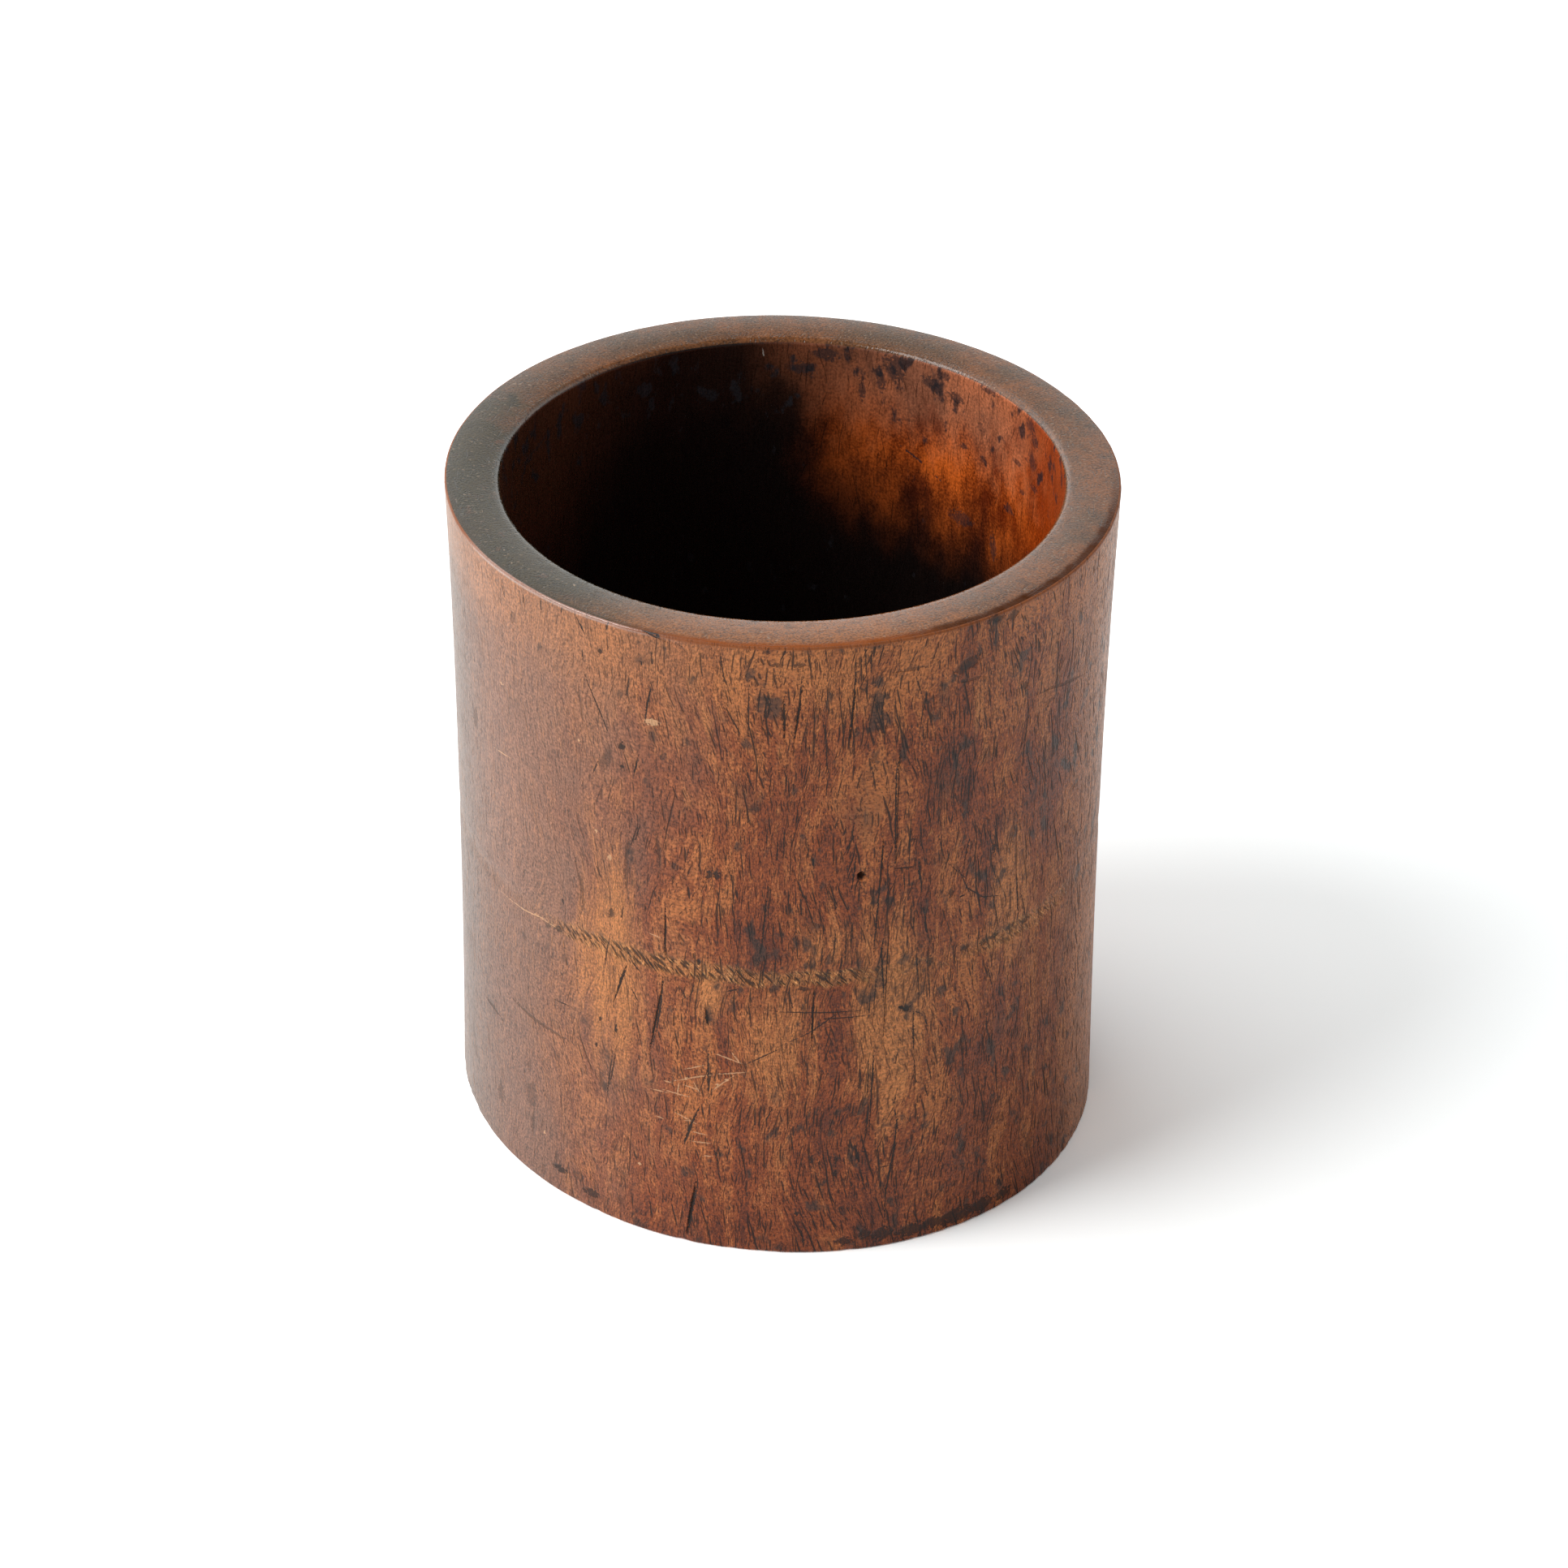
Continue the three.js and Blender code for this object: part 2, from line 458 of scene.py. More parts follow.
# %% Dark and pale patches
DARK_PATCHES = {
    "drop_under_rim": ((788, 813), 2.2, 6, 1.0),
    "under_drop": ((771, 850), 3, 13, 0.5),
    "left_soft_high": ((636, 875), 12, 20, 0.4),
    "left_eye": ((714, 918), 7, 3, 0.5),
    "beside_line": ((750, 931), 5, 14, 0.7),
    "round_dot": ((766, 921), 4, 4, 0.7),
    "round_dot_low": ((766, 946), 2.4, 2.4, 0.7),
    "under_chip": ((803, 907), 8, 12, 0.6),
    "below_under_chip": ((798, 950), 7, 12, 0.5),
    "left_double": ((787, 1010), 3, 13, 0.6),
    "middle_left_dash": ((838, 955), 3, 6, 0.6),
    "middle_left_dash_low": ((843, 998), 3, 9, 0.6),
    "middle_left_spot": ((863, 960), 4, 3, 0.5),
    "left_column": ((812, 1062), 6, 22, 0.65),
    "left_hook": ((829, 1029), 8, 8, 0.4),
    "twin_dot": ((874, 1074), 2.2, 2.4, 1.0),
    "twin_dot_right": ((881, 1076), 2.8, 2.6, 1.0),
    "middle_clot": ((930, 996), 8, 8, 0.9),
    "middle_clot_arm": ((938, 984), 3, 7, 0.9),
    "middle_haze": ((918, 978), 14, 22, 0.45),
    "middle_low_spot": ((918, 1075), 5, 6, 0.8),
    "middle_right_spot": ((1003, 1060), 4, 9, 0.75),
    "middle_right_dash": ((970, 990), 3, 7, 0.5),
    "right_spot_high": ((1078, 932), 5, 6, 0.85),
    "right_column": ((1067, 1006), 4, 15, 0.8),
    "right_haze": ((1063, 962), 6, 16, 0.5),
    "big_right_haze": ((1163, 962), 15, 38, 0.5),
    "right_haze_low": ((1155, 1064), 10, 26, 0.5),
    "right_haze_high": ((1165, 858), 13, 24, 0.55),
    "right_dash": ((1122, 887), 4, 10, 0.5),
    "right_dash_low": ((1118, 1016), 5, 8, 0.5),
    "right_strip": ((1216, 930), 3, 20, 0.8),
    "blot_under_rim": ((1229, 764), 10, 5, 0.95),
    "blot_right": ((1193, 819), 8, 6, 0.85),
    "far_right_haze": ((1289, 934), 11, 26, 0.5),
    "far_right_low": ((1245, 1026), 6, 12, 0.5),
    "ring_dot": ((861, 1185), 1.8, 1.8, 1.0),
    "over_ring": ((913, 1158), 4, 6, 0.5),
    "ring_clot": ((1019, 1203), 5, 6, 0.95),
    "ring_clot_left": ((990, 1219), 6, 4, 0.9),
    "ring_clot_right": ((1081, 1195), 3.2, 3.6, 0.9),
    "ring_clot_far": ((1146, 1186), 3.6, 6, 1.0),
    "ring_clot_edge": ((1189, 1168), 7, 4, 0.7),
    "under_ring_dot": ((1099, 1219), 3, 2.6, 0.8),
    "flat_dash": ((1112, 1242), 8, 2.6, 1.0),
    "flat_dash_end": ((1134, 1248), 3, 2, 0.7),
    "left_ring_spot": ((695, 1183), 5, 4, 0.6),
    "left_low_haze": ((606, 1236), 9, 16, 0.4),
    "above_knot": ((1060, 1005), 34, 45, 0.42),
    "right_low_haze": ((1232, 1262), 10, 42, 0.5),
    "right_edge_haze": ((1329, 1228), 7, 44, 0.4),
    "right_ring_haze": ((1261, 1170), 8, 26, 0.5),
}
PALE_PATCHES = {
    "chip": ((803, 890), 3.4, 2.4, 1.0),
    "left_island": ((752, 1190), 44, 160, 0.95),
    "left_island_low": ((786, 1088), 6, 12, 0.7),
    "right_tan": ((1102, 1250), 62, 140, 0.95),
    "ring_right": ((1040, 1165), 70, 50, 0.6),
    "right_tan_core": ((1112, 1240), 10, 40, 0.9),
    "upper_right_tan": ((1203, 885), 6, 32, 0.8),
    "orange_oval": ((1147, 1026), 3.4, 6, 1.0),
    "upper_middle": ((1002, 900), 12, 5, 0.5),
    "thin_light": ((960, 925), 3, 14, 0.7),
    "thin_light_low": ((959, 1000), 4, 9, 0.6),
    "under_ring_light": ((876, 1226), 24, 42, 0.85),
    "upper_left_light": ((871, 890), 12, 22, 0.5),
    "low_middle": ((955, 1290), 66, 110, 0.62),
    "right_light": ((1243, 1080), 30, 110, 0.8),
}


def patch_values(patches):
    """The strongest patch at each point of the wall, from nothing to one."""
    values = np.zeros_like(around_grid)
    for (x, y), wide, tall, strength in patches.values():
        middle_round, middle_up = on_wall(x, y)
        reach_round = (on_wall(x + wide, y)[0] - on_wall(x - wide, y)[0]) / 2
        reach_up = (on_wall(x, y - tall)[1] - on_wall(x, y + tall)[1]) / 2
        distance = np.hypot((around_grid - middle_round) / reach_round, (up_grid - middle_up) / reach_up)
        values = np.maximum(values, strength * np.clip(1.3 - distance, 0, 1))
    return values * wall_share


dark_values = patch_values(DARK_PATCHES)
pale_values = patch_values(PALE_PATCHES)
RING_SPANS = {
    "back_gap": (-283, 0.3), "back_left": (-210, 0.7), "left_gap": (-150, 0.15), "left_side": (-95, 0.1),
    "left_start": (-72, 0.15), "strong_from": (-62, 0.9), "strong_to": (20, 1), "faint_from": (27, 0.3),
    "faint_to": (52, 0.2), "right_from": (60, 0.75), "right_to": (84, 0.65), "right_gap": (100, 0.1),
    "far_right": (170, 0.7), "back_again": (283, 0.3),
}
span_places, span_strengths = zip(*RING_SPANS.values())
ring_values = np.interp(around_grid, span_places, span_strengths) * wall_share
print("dark patches:", len(DARK_PATCHES), "pale patches:", len(PALE_PATCHES))

# %% [markdown]
# ## Fine marks
#
# Hundreds of pores, hair splits and scratches are finer than the mesh. The ones that can be told apart in
# the photograph are drawn as routes of pixels, and here each straight piece of a route is turned into two
# plain numbers: how far across the piece a point is, in half widths, and how far along the route. Both
# change evenly over a small face, so they are kept on the corners of the faces that the piece crosses, and
# the finish draws a line from them that is far sharper than the mesh.

# %% Kinds of marks and their routes
MARK_KINDS = {
    "hair": (0.5, 0.9), "strong": (0.6, 1), "bold": (0.95, 1), "soft": (1.3, 0.55), "pale": (0.5, -0.75),
}
WALL_ROUTES = {
    "upper left": {
        "hair": [
            [(617, 717), (622, 738)], [(644, 731), (645, 746)], [(665, 738), (667, 755)],
            [(692, 748), (691, 757)], [(749, 767), (746, 778)], [(717, 799), (718, 815)],
            [(720, 832), (733, 863), (743, 887), (753, 912)], [(775, 832), (771, 865)],
            [(737, 937), (730, 954)], [(802, 800), (805, 830)], [(787, 1014), (776, 1045)],
        ],
        "strong": [[(787, 930), (780, 958)], [(710, 761), (720, 780)], [(804, 838), (797, 870), (794, 895)]],
        "bold": [[(787, 801), (791, 821)], [(810, 752), (813, 775), (818, 790)]],
        "pale": [[(607, 920), (634, 937)], [(789, 890), (815, 891)]],
    },
    "upper middle": {
        "hair": [
            [(886, 799), (892, 835), (901, 856)], [(923, 845), (922, 874), (923, 911)],
            [(946, 854), (941, 891)], [(946, 823), (943, 846)],
            [(1012, 878), (1018, 911), (1019, 940), (1023, 960)], [(1061, 800), (1062, 850)],
            [(917, 940), (923, 960), (931, 978)], [(892, 868), (902, 886), (913, 905)],
            [(1042, 882), (1040, 911)], [(965, 942), (969, 960), (968, 980)], [(1066, 800), (1068, 836)],
            [(1074, 800), (1074, 830)], [(1082, 858), (1081, 882)],
            [(1092, 846), (1087, 874), (1090, 911), (1091, 927)], [(1074, 940), (1080, 978)],
        ],
        "strong": [
            [(966, 860), (966, 901)], [(989, 825), (986, 862), (981, 899), (976, 923)],
            [(1055, 813), (1053, 858), (1047, 911)],
        ],
    },
    "upper right": {
        "hair": [
            [(1112, 827), (1109, 852)], [(1128, 831), (1137, 859)], [(1137, 898), (1139, 913)],
            [(1135, 926), (1138, 944), (1141, 963)], [(1218, 771), (1222, 794), (1224, 812)],
            [(1221, 823), (1222, 833)], [(1217, 835), (1221, 873)], [(1218, 879), (1222, 903)],
            [(1227, 919), (1229, 938)], [(1223, 946), (1228, 986)],
            [(1266, 833), (1267, 879), (1264, 905), (1259, 949)], [(1195, 932), (1196, 951), (1193, 997)],
            [(1187, 947), (1184, 995)], [(1273, 859), (1273, 875)],
        ],
        "strong": [[(1110, 923), (1105, 951), (1104, 984), (1103, 1078)]],
        "soft": [
            [(1275, 858), (1294, 848), (1338, 829)], [(1099, 829), (1149, 819)], [(1181, 842), (1214, 831)],
        ],
    },
    "left of the ring": {
        "hair": [
            [(733, 1063), (745, 1092)], [(789, 1015), (782, 1038)], [(768, 1115), (766, 1132)],
            [(752, 1151), (748, 1168), (744, 1199)], [(739, 1159), (750, 1176)],
            [(777, 1216), (787, 1235)], [(810, 1268), (815, 1285)], [(682, 1231), (705, 1241)],
        ],
        "strong": [
            [(693, 1107), (694, 1117)], [(819, 1115), (820, 1145), (819, 1184)],
            [(773, 1187), (766, 1203), (758, 1230)], [(817, 1195), (814, 1239), (809, 1268), (802, 1295)],
            [(775, 1180), (791, 1201)], [(794, 1178), (810, 1199)],
        ],
        "bold": [[(759, 1262), (759, 1275)]],
        "soft": [
            [(708, 1050), (711, 1069), (717, 1092), (719, 1115), (712, 1138)],
            [(776, 1019), (771, 1077), (774, 1107)], [(808, 1025), (814, 1067)],
            [(597, 1226), (607, 1239), (622, 1260)],
            [(624, 1222), (638, 1237), (655, 1253), (691, 1277), (712, 1287)],
        ],
        "pale": [[(617, 1099), (647, 1122), (664, 1130), (699, 1151)], [(798, 1149), (817, 1157)]],
    },
    "round the knot": {
        "hair": [
            [(1060, 1086), (1057, 1119)], [(1054, 1006), (1048, 1038), (1038, 1057)],
            [(1094, 1052), (1094, 1119)], [(981, 1082), (988, 1100), (998, 1117)],
            [(986, 1101), (987, 1122), (989, 1132)], [(967, 1019), (965, 1057)],
            [(1019, 1094), (1029, 1115), (1031, 1126)], [(947, 1172), (942, 1191), (939, 1209)],
            [(958, 1031), (958, 1063)], [(946, 1019), (944, 1050)], [(996, 1038), (995, 1059)],
            [(896, 1067), (902, 1084), (904, 1099)], [(902, 1115), (906, 1136)],
            [(849, 1044), (846, 1057)], [(979, 1143), (982, 1168), (983, 1184)],
            [(968, 1113), (970, 1128)], [(1032, 1010), (1029, 1022)], [(1043, 1018), (1039, 1031)],
            [(1048, 1040), (1044, 1052)],
        ],
        "strong": [
            [(1056, 1046), (1049, 1101)], [(1088, 1033), (1084, 1092), (1078, 1159), (1076, 1184)],
            [(946, 1090), (943, 1124), (939, 1163), (933, 1195)], [(1001, 1054), (1003, 1071)],
        ],
    },
    "under the ring": {
        "hair": [
            [(1030, 1142), (1026, 1191)], [(1038, 1165), (1036, 1195), (1038, 1212)],
            [(1043, 1142), (1041, 1193)], [(1049, 1130), (1049, 1165)], [(1014, 1163), (1011, 1193)],
            [(1080, 1203), (1078, 1226), (1076, 1249)], [(1073, 1220), (1070, 1258)],
            [(971, 1218), (975, 1235), (978, 1247)], [(925, 1216), (924, 1239)],
            [(856, 1212), (851, 1226), (849, 1237)], [(838, 1218), (843, 1226), (844, 1232)],
            [(859, 1201), (863, 1212)], [(943, 1245), (965, 1247), (1031, 1247), (1065, 1244)],
            [(1084, 1249), (1040, 1254), (1023, 1255), (998, 1272), (962, 1289)],
            [(889, 1223), (914, 1218)],
        ],
        "strong": [
            [(1090, 1147), (1086, 1172), (1089, 1220), (1088, 1239)],
            [(1004, 1220), (1001, 1249), (1000, 1283)],
        ],
        "bold": [[(870, 1245), (871, 1262)], [(1104, 1239), (1119, 1245)]],
    },
    "right of the knot": {
        "hair": [
            [(1123, 1000), (1120, 1073)], [(1134, 1015), (1135, 1038), (1140, 1054)],
            [(1114, 1073), (1115, 1099)], [(1114, 1115), (1113, 1143)], [(1127, 1122), (1125, 1149)],
            [(1130, 1163), (1130, 1184), (1133, 1235)], [(1118, 1149), (1118, 1170)],
            [(1144, 1197), (1146, 1231)], [(1157, 1031), (1165, 1063)], [(1175, 1000), (1171, 1019)],
            [(1172, 1044), (1163, 1077)], [(1194, 1065), (1190, 1086)],
            [(1167, 1063), (1184, 1077), (1192, 1094), (1211, 1105), (1242, 1102)],
            [(1216, 1017), (1228, 1057)], [(1215, 1054), (1217, 1107)], [(1222, 1063), (1228, 1084)],
            [(1220, 1084), (1231, 1145)], [(1245, 1077), (1245, 1134)], [(1257, 1096), (1266, 1138)],
            [(1293, 1094), (1296, 1124), (1294, 1184)], [(1121, 1034), (1129, 1034)],
            [(1100, 1071), (1131, 1067)],
        ],
        "strong": [
            [(1132, 1050), (1133, 1077), (1137, 1093)], [(1139, 1117), (1141, 1142), (1146, 1161)],
            [(1196, 1029), (1188, 1063)], [(1182, 1106), (1190, 1102)], [(1225, 1011), (1232, 1057)],
            [(1252, 1067), (1255, 1138)],
        ],
    },
    "right under the ring": {
        "hair": [
            [(1198, 1182), (1199, 1201)], [(1215, 1184), (1224, 1220)], [(1171, 1239), (1170, 1264)],
            [(1184, 1245), (1187, 1285)], [(1215, 1241), (1216, 1266), (1222, 1295)],
            [(1265, 1241), (1270, 1287)], [(1139, 1249), (1143, 1268)], [(1127, 1246), (1136, 1249)],
        ],
        "strong": [[(1125, 1247), (1126, 1298)]],
    },
    "low left": {
        "hair": [
            [(755, 1293), (747, 1359)], [(759, 1296), (751, 1340)], [(780, 1415), (785, 1431)],
            [(716, 1298), (718, 1307)],
        ],
    },
    "low middle": {
        "hair": [
            [(918, 1312), (961, 1292)], [(878, 1411), (883, 1426), (886, 1448)],
            [(961, 1373), (964, 1383)], [(973, 1390), (979, 1428)], [(971, 1441), (981, 1479)],
            [(981, 1507), (989, 1525), (991, 1542)], [(952, 1365), (943, 1383)],
            [(996, 1307), (994, 1330)],
        ],
        "strong": [[(872, 1293), (873, 1346)]],
        "bold": [[(862, 1363), (853, 1383), (842, 1413)], [(860, 1456), (853, 1489), (847, 1524)]],
        "pale": [
            [(800, 1341), (825, 1347)], [(816, 1331), (830, 1335)], [(840, 1336), (861, 1343)],
            [(805, 1373), (820, 1380)], [(841, 1380), (855, 1382)], [(851, 1406), (878, 1409)],
            [(865, 1424), (879, 1425)], [(881, 1324), (923, 1321)], [(873, 1295), (918, 1312)],
            [(823, 1333), (859, 1327), (881, 1324)], [(812, 1341), (851, 1352)],
            [(837, 1330), (834, 1352)], [(854, 1333), (865, 1352)], [(829, 1369), (859, 1385)],
            [(851, 1394), (873, 1399)], [(873, 1347), (906, 1324)], [(901, 1297), (912, 1310)],
            [(840, 1318), (872, 1312)],
        ],
    },
    "low right": {
        "hair": [
            [(1060, 1303), (1058, 1353)], [(1070, 1300), (1069, 1356)], [(1052, 1360), (1050, 1376)],
            [(1071, 1360), (1066, 1396)], [(1107, 1293), (1102, 1315)],
            [(1126, 1300), (1128, 1330), (1133, 1338)], [(1140, 1298), (1148, 1331)],
            [(1138, 1335), (1144, 1353)], [(1173, 1312), (1168, 1326)], [(1218, 1297), (1219, 1310)],
            [(1226, 1298), (1229, 1328)], [(1161, 1434), (1159, 1449)], [(1061, 1418), (1070, 1420)],
            [(1085, 1438), (1096, 1436)], [(1047, 1449), (1050, 1466)],
        ],
        "strong": [
            [(1077, 1290), (1074, 1340), (1071, 1396)],
            [(1107, 1335), (1101, 1361), (1105, 1383), (1101, 1419), (1091, 1469), (1090, 1514)],
        ],
        "bold": [[(1052, 1409), (1060, 1436)]],
        "soft": [[(1191, 1396), (1178, 1433)]],
    },
}
INSIDE_ROUTES = {
    "right": {
        "bold": [[(1105, 546), (1122, 560), (1139, 574), (1160, 595)]],
    },
    "left": {
        "soft": [[(687, 523), (662, 553), (639, 581)]],
        "pale": [[(940, 430), (941, 440)]],
    },
}
print("areas with routes:", len(WALL_ROUTES) + len(INSIDE_ROUTES))

# %% Spots and blots
WALL_SPOTS = {
    "dots": [
        (861, 1185, 4, 4), (766, 920, 5, 6), (766, 945, 3, 3), (739, 803, 3, 4), (874, 1077, 5, 6),
        (883, 1079, 6, 6), (740, 1255, 2, 3), (735, 1287, 2, 3), (1000, 1429, 3, 5), (1010, 1433, 2, 3),
        (1030, 1429, 3, 5), (1029, 1446, 3, 4), (981, 1496, 3, 4), (1225, 1045, 3, 6), (1117, 1243, 5, 4),
        (1061, 1079, 6, 6),
    ],
    "under the rim": [
        (945, 804, 5, 4), (966, 805, 4, 3), (985, 820, 10, 3), (957, 820, 8, 3), (1226, 762, 12, 6),
        (1248, 758, 9, 6), (1195, 817, 16, 9), (1183, 826, 8, 8), (1263, 845, 5, 5),
    ],
    "ring clots": [
        (688, 1145, 5, 4), (1146, 1184, 4, 8), (1172, 1100, 4, 6), (1189, 1168, 7, 4), (1213, 1160, 6, 5),
        (1226, 1153, 5, 4), (1245, 1142, 6, 4), (1264, 1134, 5, 4), (1019, 1203, 6, 8), (990, 1219, 8, 4),
        (1081, 1195, 4, 5), (753, 1125, 4, 6), (772, 1172, 6, 5),
    ],
    "stains": [
        (745, 939, 6, 12), (632, 761, 4, 9), (586, 884, 3, 14), (777, 874, 5, 6), (1247, 1025, 3, 8),
        (1182, 1230, 3, 9), (1203, 1338, 6, 12), (1211, 1370, 5, 14), (1222, 1356, 5, 10),
        (1267, 1406, 6, 14), (652, 1314, 3, 8), (618, 1347, 5, 14), (655, 1348, 8, 16),
        (657, 1385, 3, 18), (670, 1441, 3, 8), (714, 1411, 4, 6), (712, 1449, 9, 7), (758, 1411, 5, 9),
        (764, 1480, 6, 8), (768, 1448, 5, 6), (686, 1426, 3, 8), (741, 1330, 5, 12), (1104, 1218, 5, 3),
        (930, 996, 7, 8), (1078, 932, 6, 8),
    ],
    "foot": [
        (1086, 1520, 16, 9), (1123, 1515, 24, 9), (1178, 1497, 30, 11), (1209, 1484, 18, 9),
        (1236, 1469, 10, 8), (1066, 1519, 8, 9), (1040, 1529, 13, 6), (1150, 1506, 18, 8),
        (690, 1440, 10, 5), (730, 1470, 12, 6),
    ],
    "chips": [
        (803, 890, 11, 5), (845, 1329, 3, 2), (895, 1331, 3, 2), (884, 1337, 3, 2), (788, 1434, 3, 2),
        (618, 842, 2, 2), (713, 912, 2, 2), (671, 1395, 2, 2), (734, 1024, 2, 3), (751, 1057, 3, 4),
    ],
}
INSIDE_SPOTS = {
    "under the lip": [
        (988, 454, 18, 9), (1017, 436, 20, 9), (1103, 454, 14, 22), (1147, 472, 14, 9), (1164, 464, 7, 6),
        (1177, 490, 11, 7), (1218, 482, 12, 5), (1062, 482, 5, 16), (1085, 469, 7, 16), (1187, 550, 7, 4),
    ],
    "right side": [
        (1269, 525, 7, 11), (1275, 546, 5, 9), (1271, 569, 5, 13), (1253, 570, 7, 4), (1273, 603, 5, 5),
        (1259, 607, 4, 4), (1242, 627, 7, 7), (1184, 639, 18, 10), (1223, 675, 5, 18),
    ],
}
MOUTH_SPOTS = {
    "nicks": [(625, 709, 4, 3)],
    "chips": [
        (588, 599, 2, 1.5), (707, 721, 2, 1.5), (594, 630, 2, 1.5), (620, 678, 2, 1.5), (629, 694, 2, 1.5),
    ],
}
SPOT_STRENGTHS = {
    "dots": 0.9, "under the rim": 0.7, "ring clots": 0.75, "stains": 0.4, "foot": 0.85, "chips": -0.9,
    "under the lip": 0.8, "right side": 0.7, "nicks": 0.9,
}
print("groups of spots:", len(SPOT_STRENGTHS))

# %% Straight pieces on the three surfaces
MARK_LAYERS = 4
FACE_REACH = 1.25
NO_MARK = (99, 99, 0)
SURFACE_RADIUS = {"outside": RIM_RADIUS, "inside": MOUTH_RADIUS, "mouth": 82.5}


def on_inside(x, y):
    """Where a pixel lies on the wall of the cavity: mm round from the front, and up."""
    points, angle = along_ray(x, y)
    cavity = CAVITY_FOOT_RADIUS + (MOUTH_RADIUS - CAVITY_FOOT_RADIUS) * (points[:, 2] - fillet_up) / HEIGHT
    first = np.argmax((points[:, 2] < HEIGHT) & (np.hypot(points[:, 0], points[:, 1]) > cavity))
    return SURFACE_RADIUS["inside"] * half_turned(angle[first] - FRONT), points[first, 2]


def on_mouth(x, y):
    """Where a pixel lies on the flat mouth: mm round from the front, and mm out from the axis."""
    points, angle = along_ray(x, y)
    first = np.argmax(points[:, 2] < HEIGHT)
    return SURFACE_RADIUS["mouth"] * half_turned(angle[first] - FRONT), np.hypot(*points[first, :2])


def half_turned(angle):
    """The same direction as an angle between minus and plus half a turn."""
    return (angle + math.pi) % (2 * math.pi) - math.pi


def route_pieces(find, routes_by_kind):
    """Pieces of every route: both ends, half width, the shares of the route at the ends, and strength."""
    pieces = []
    for kind, routes in routes_by_kind.items():
        width, strength = MARK_KINDS[kind]
        for route in routes:
            places = np.array([find(x, y) for x, y in route])
            lengths = np.append(0, np.cumsum(np.hypot(*np.diff(places, axis=0).T)))
            shares = 2 * lengths / lengths[-1] - 1
            for number in range(len(route) - 1):
                ends = places[number], places[number + 1]
                pieces.append((*ends, width / 2, shares[number], shares[number + 1], strength))
    return pieces


def spot_pieces(find, spots, strength):
    """A spot is a short upright piece, as wide and as long as the spot."""
    pieces = []
    for x, y, wide, tall in spots:
        half_width = abs(find(x + wide, y)[0] - find(x - wide, y)[0]) / 2
        pieces.append((np.array(find(x, y + tall)), np.array(find(x, y - tall)), half_width, -1, 1, strength))
    return pieces


def all_pieces(find, areas, spots):
    """Everything that is drawn on one surface."""
    pieces = [piece for area in areas.values() for piece in route_pieces(find, area)]
    for name, group in spots.items():
        pieces += spot_pieces(find, group, SPOT_STRENGTHS[name])
    return pieces


deep_pieces = []
for top, bottom, width, _ in DEEP_CHECKS.values():
    deep_pieces.append((np.array(on_wall(*top)), np.array(on_wall(*bottom)), width / 2, -1, 1, 1))
surface_pieces = {
    "outside": deep_pieces + all_pieces(on_wall, WALL_ROUTES, WALL_SPOTS),
    "inside": all_pieces(on_inside, INSIDE_ROUTES, INSIDE_SPOTS),
    "mouth": all_pieces(on_mouth, {"front": {"hair": [[(817, 729), (813, 752)]]}}, MOUTH_SPOTS),
}
print("pieces:", {name: len(pieces) for name, pieces in surface_pieces.items()})


# %% Nearest pieces of every face
def at_corners(grid, full_turn=0):
    """Values of the grid at the four corners of every face, in the order of its faces."""
    following = np.roll(grid, -1, axis=1)
    following[:, -1] += full_turn
    low = np.stack([grid, following], axis=-1)
    return np.concatenate([low, np.roll(low, -1, axis=0)[..., ::-1]], axis=-1)


def pieces_near_faces(pieces, rounds, seconds, chosen):
    """For each piece: the faces that it crosses, how close it is, and its two numbers at their corners."""
    faces, distances, values = [], [], []
    middle_round, middle_second = rounds.mean(axis=1), seconds.mean(axis=1)
    for start, stop, half_width, first_share, last_share, strength in pieces:
        length = np.hypot(*(stop - start))
        direction = (stop - start) / length
        along = (middle_round - start[0]) * direction[0] + (middle_second - start[1]) * direction[1]
        across = (middle_round - start[0]) * direction[1] - (middle_second - start[1]) * direction[0]
        distance = np.hypot(along - np.clip(along, 0, length), across)
        crossed = np.flatnonzero(chosen & (distance < FACE_REACH + half_width))
        corner_round, corner_second = rounds[crossed] - start[0], seconds[crossed] - start[1]
        corner_along = (corner_round * direction[0] + corner_second * direction[1]) / length
        corner_across = (corner_round * direction[1] - corner_second * direction[0]) / half_width
        share = first_share + (last_share - first_share) * corner_along
        faces.append(crossed)
        distances.append(distance[crossed] - half_width)
        values.append(np.stack([corner_across, share, np.full_like(share, strength)], axis=-1))
    return np.concatenate(faces), np.concatenate(distances), np.concatenate(values)


def mark_layers():
    """Layer by layer, the nearest pieces of every face."""
    nearest = np.tile(np.array(NO_MARK, dtype=np.float32), (MARK_LAYERS, around_grid.size, 4, 1))
    angles = at_corners(angle_grid - FRONT, 2 * math.pi).reshape(-1, 4)
    for number, name in enumerate(FINISHES[:3]):
        seconds = at_corners(radius_grid if name == "mouth" else up_grid).reshape(-1, 4)
        chosen = np.repeat(bands == number, len(columns))
        rounds = SURFACE_RADIUS[name] * angles
        faces, distances, values = pieces_near_faces(surface_pieces[name], rounds, seconds, chosen)
        order = np.lexsort((distances, faces))
        faces, values = faces[order], values[order]
        starts = np.searchsorted(faces, faces)
        rank = np.arange(len(faces)) - starts
        for layer in range(MARK_LAYERS):
            nearest[layer, faces[rank == layer]] = values[rank == layer]
    return nearest


layers = mark_layers()
print("faces with a mark:", int((layers[0, :, 0, 2] != 0).sum()))

# %% [markdown]
# ## Mesh and map
#
# The grid becomes one closed mesh of quads. It also gets a flat map of its surface in strips: two halves of
# the outside, then the inside, the mouth and the underside. The outside gets most of the map, because its
# pores are the finest thing on the pot.

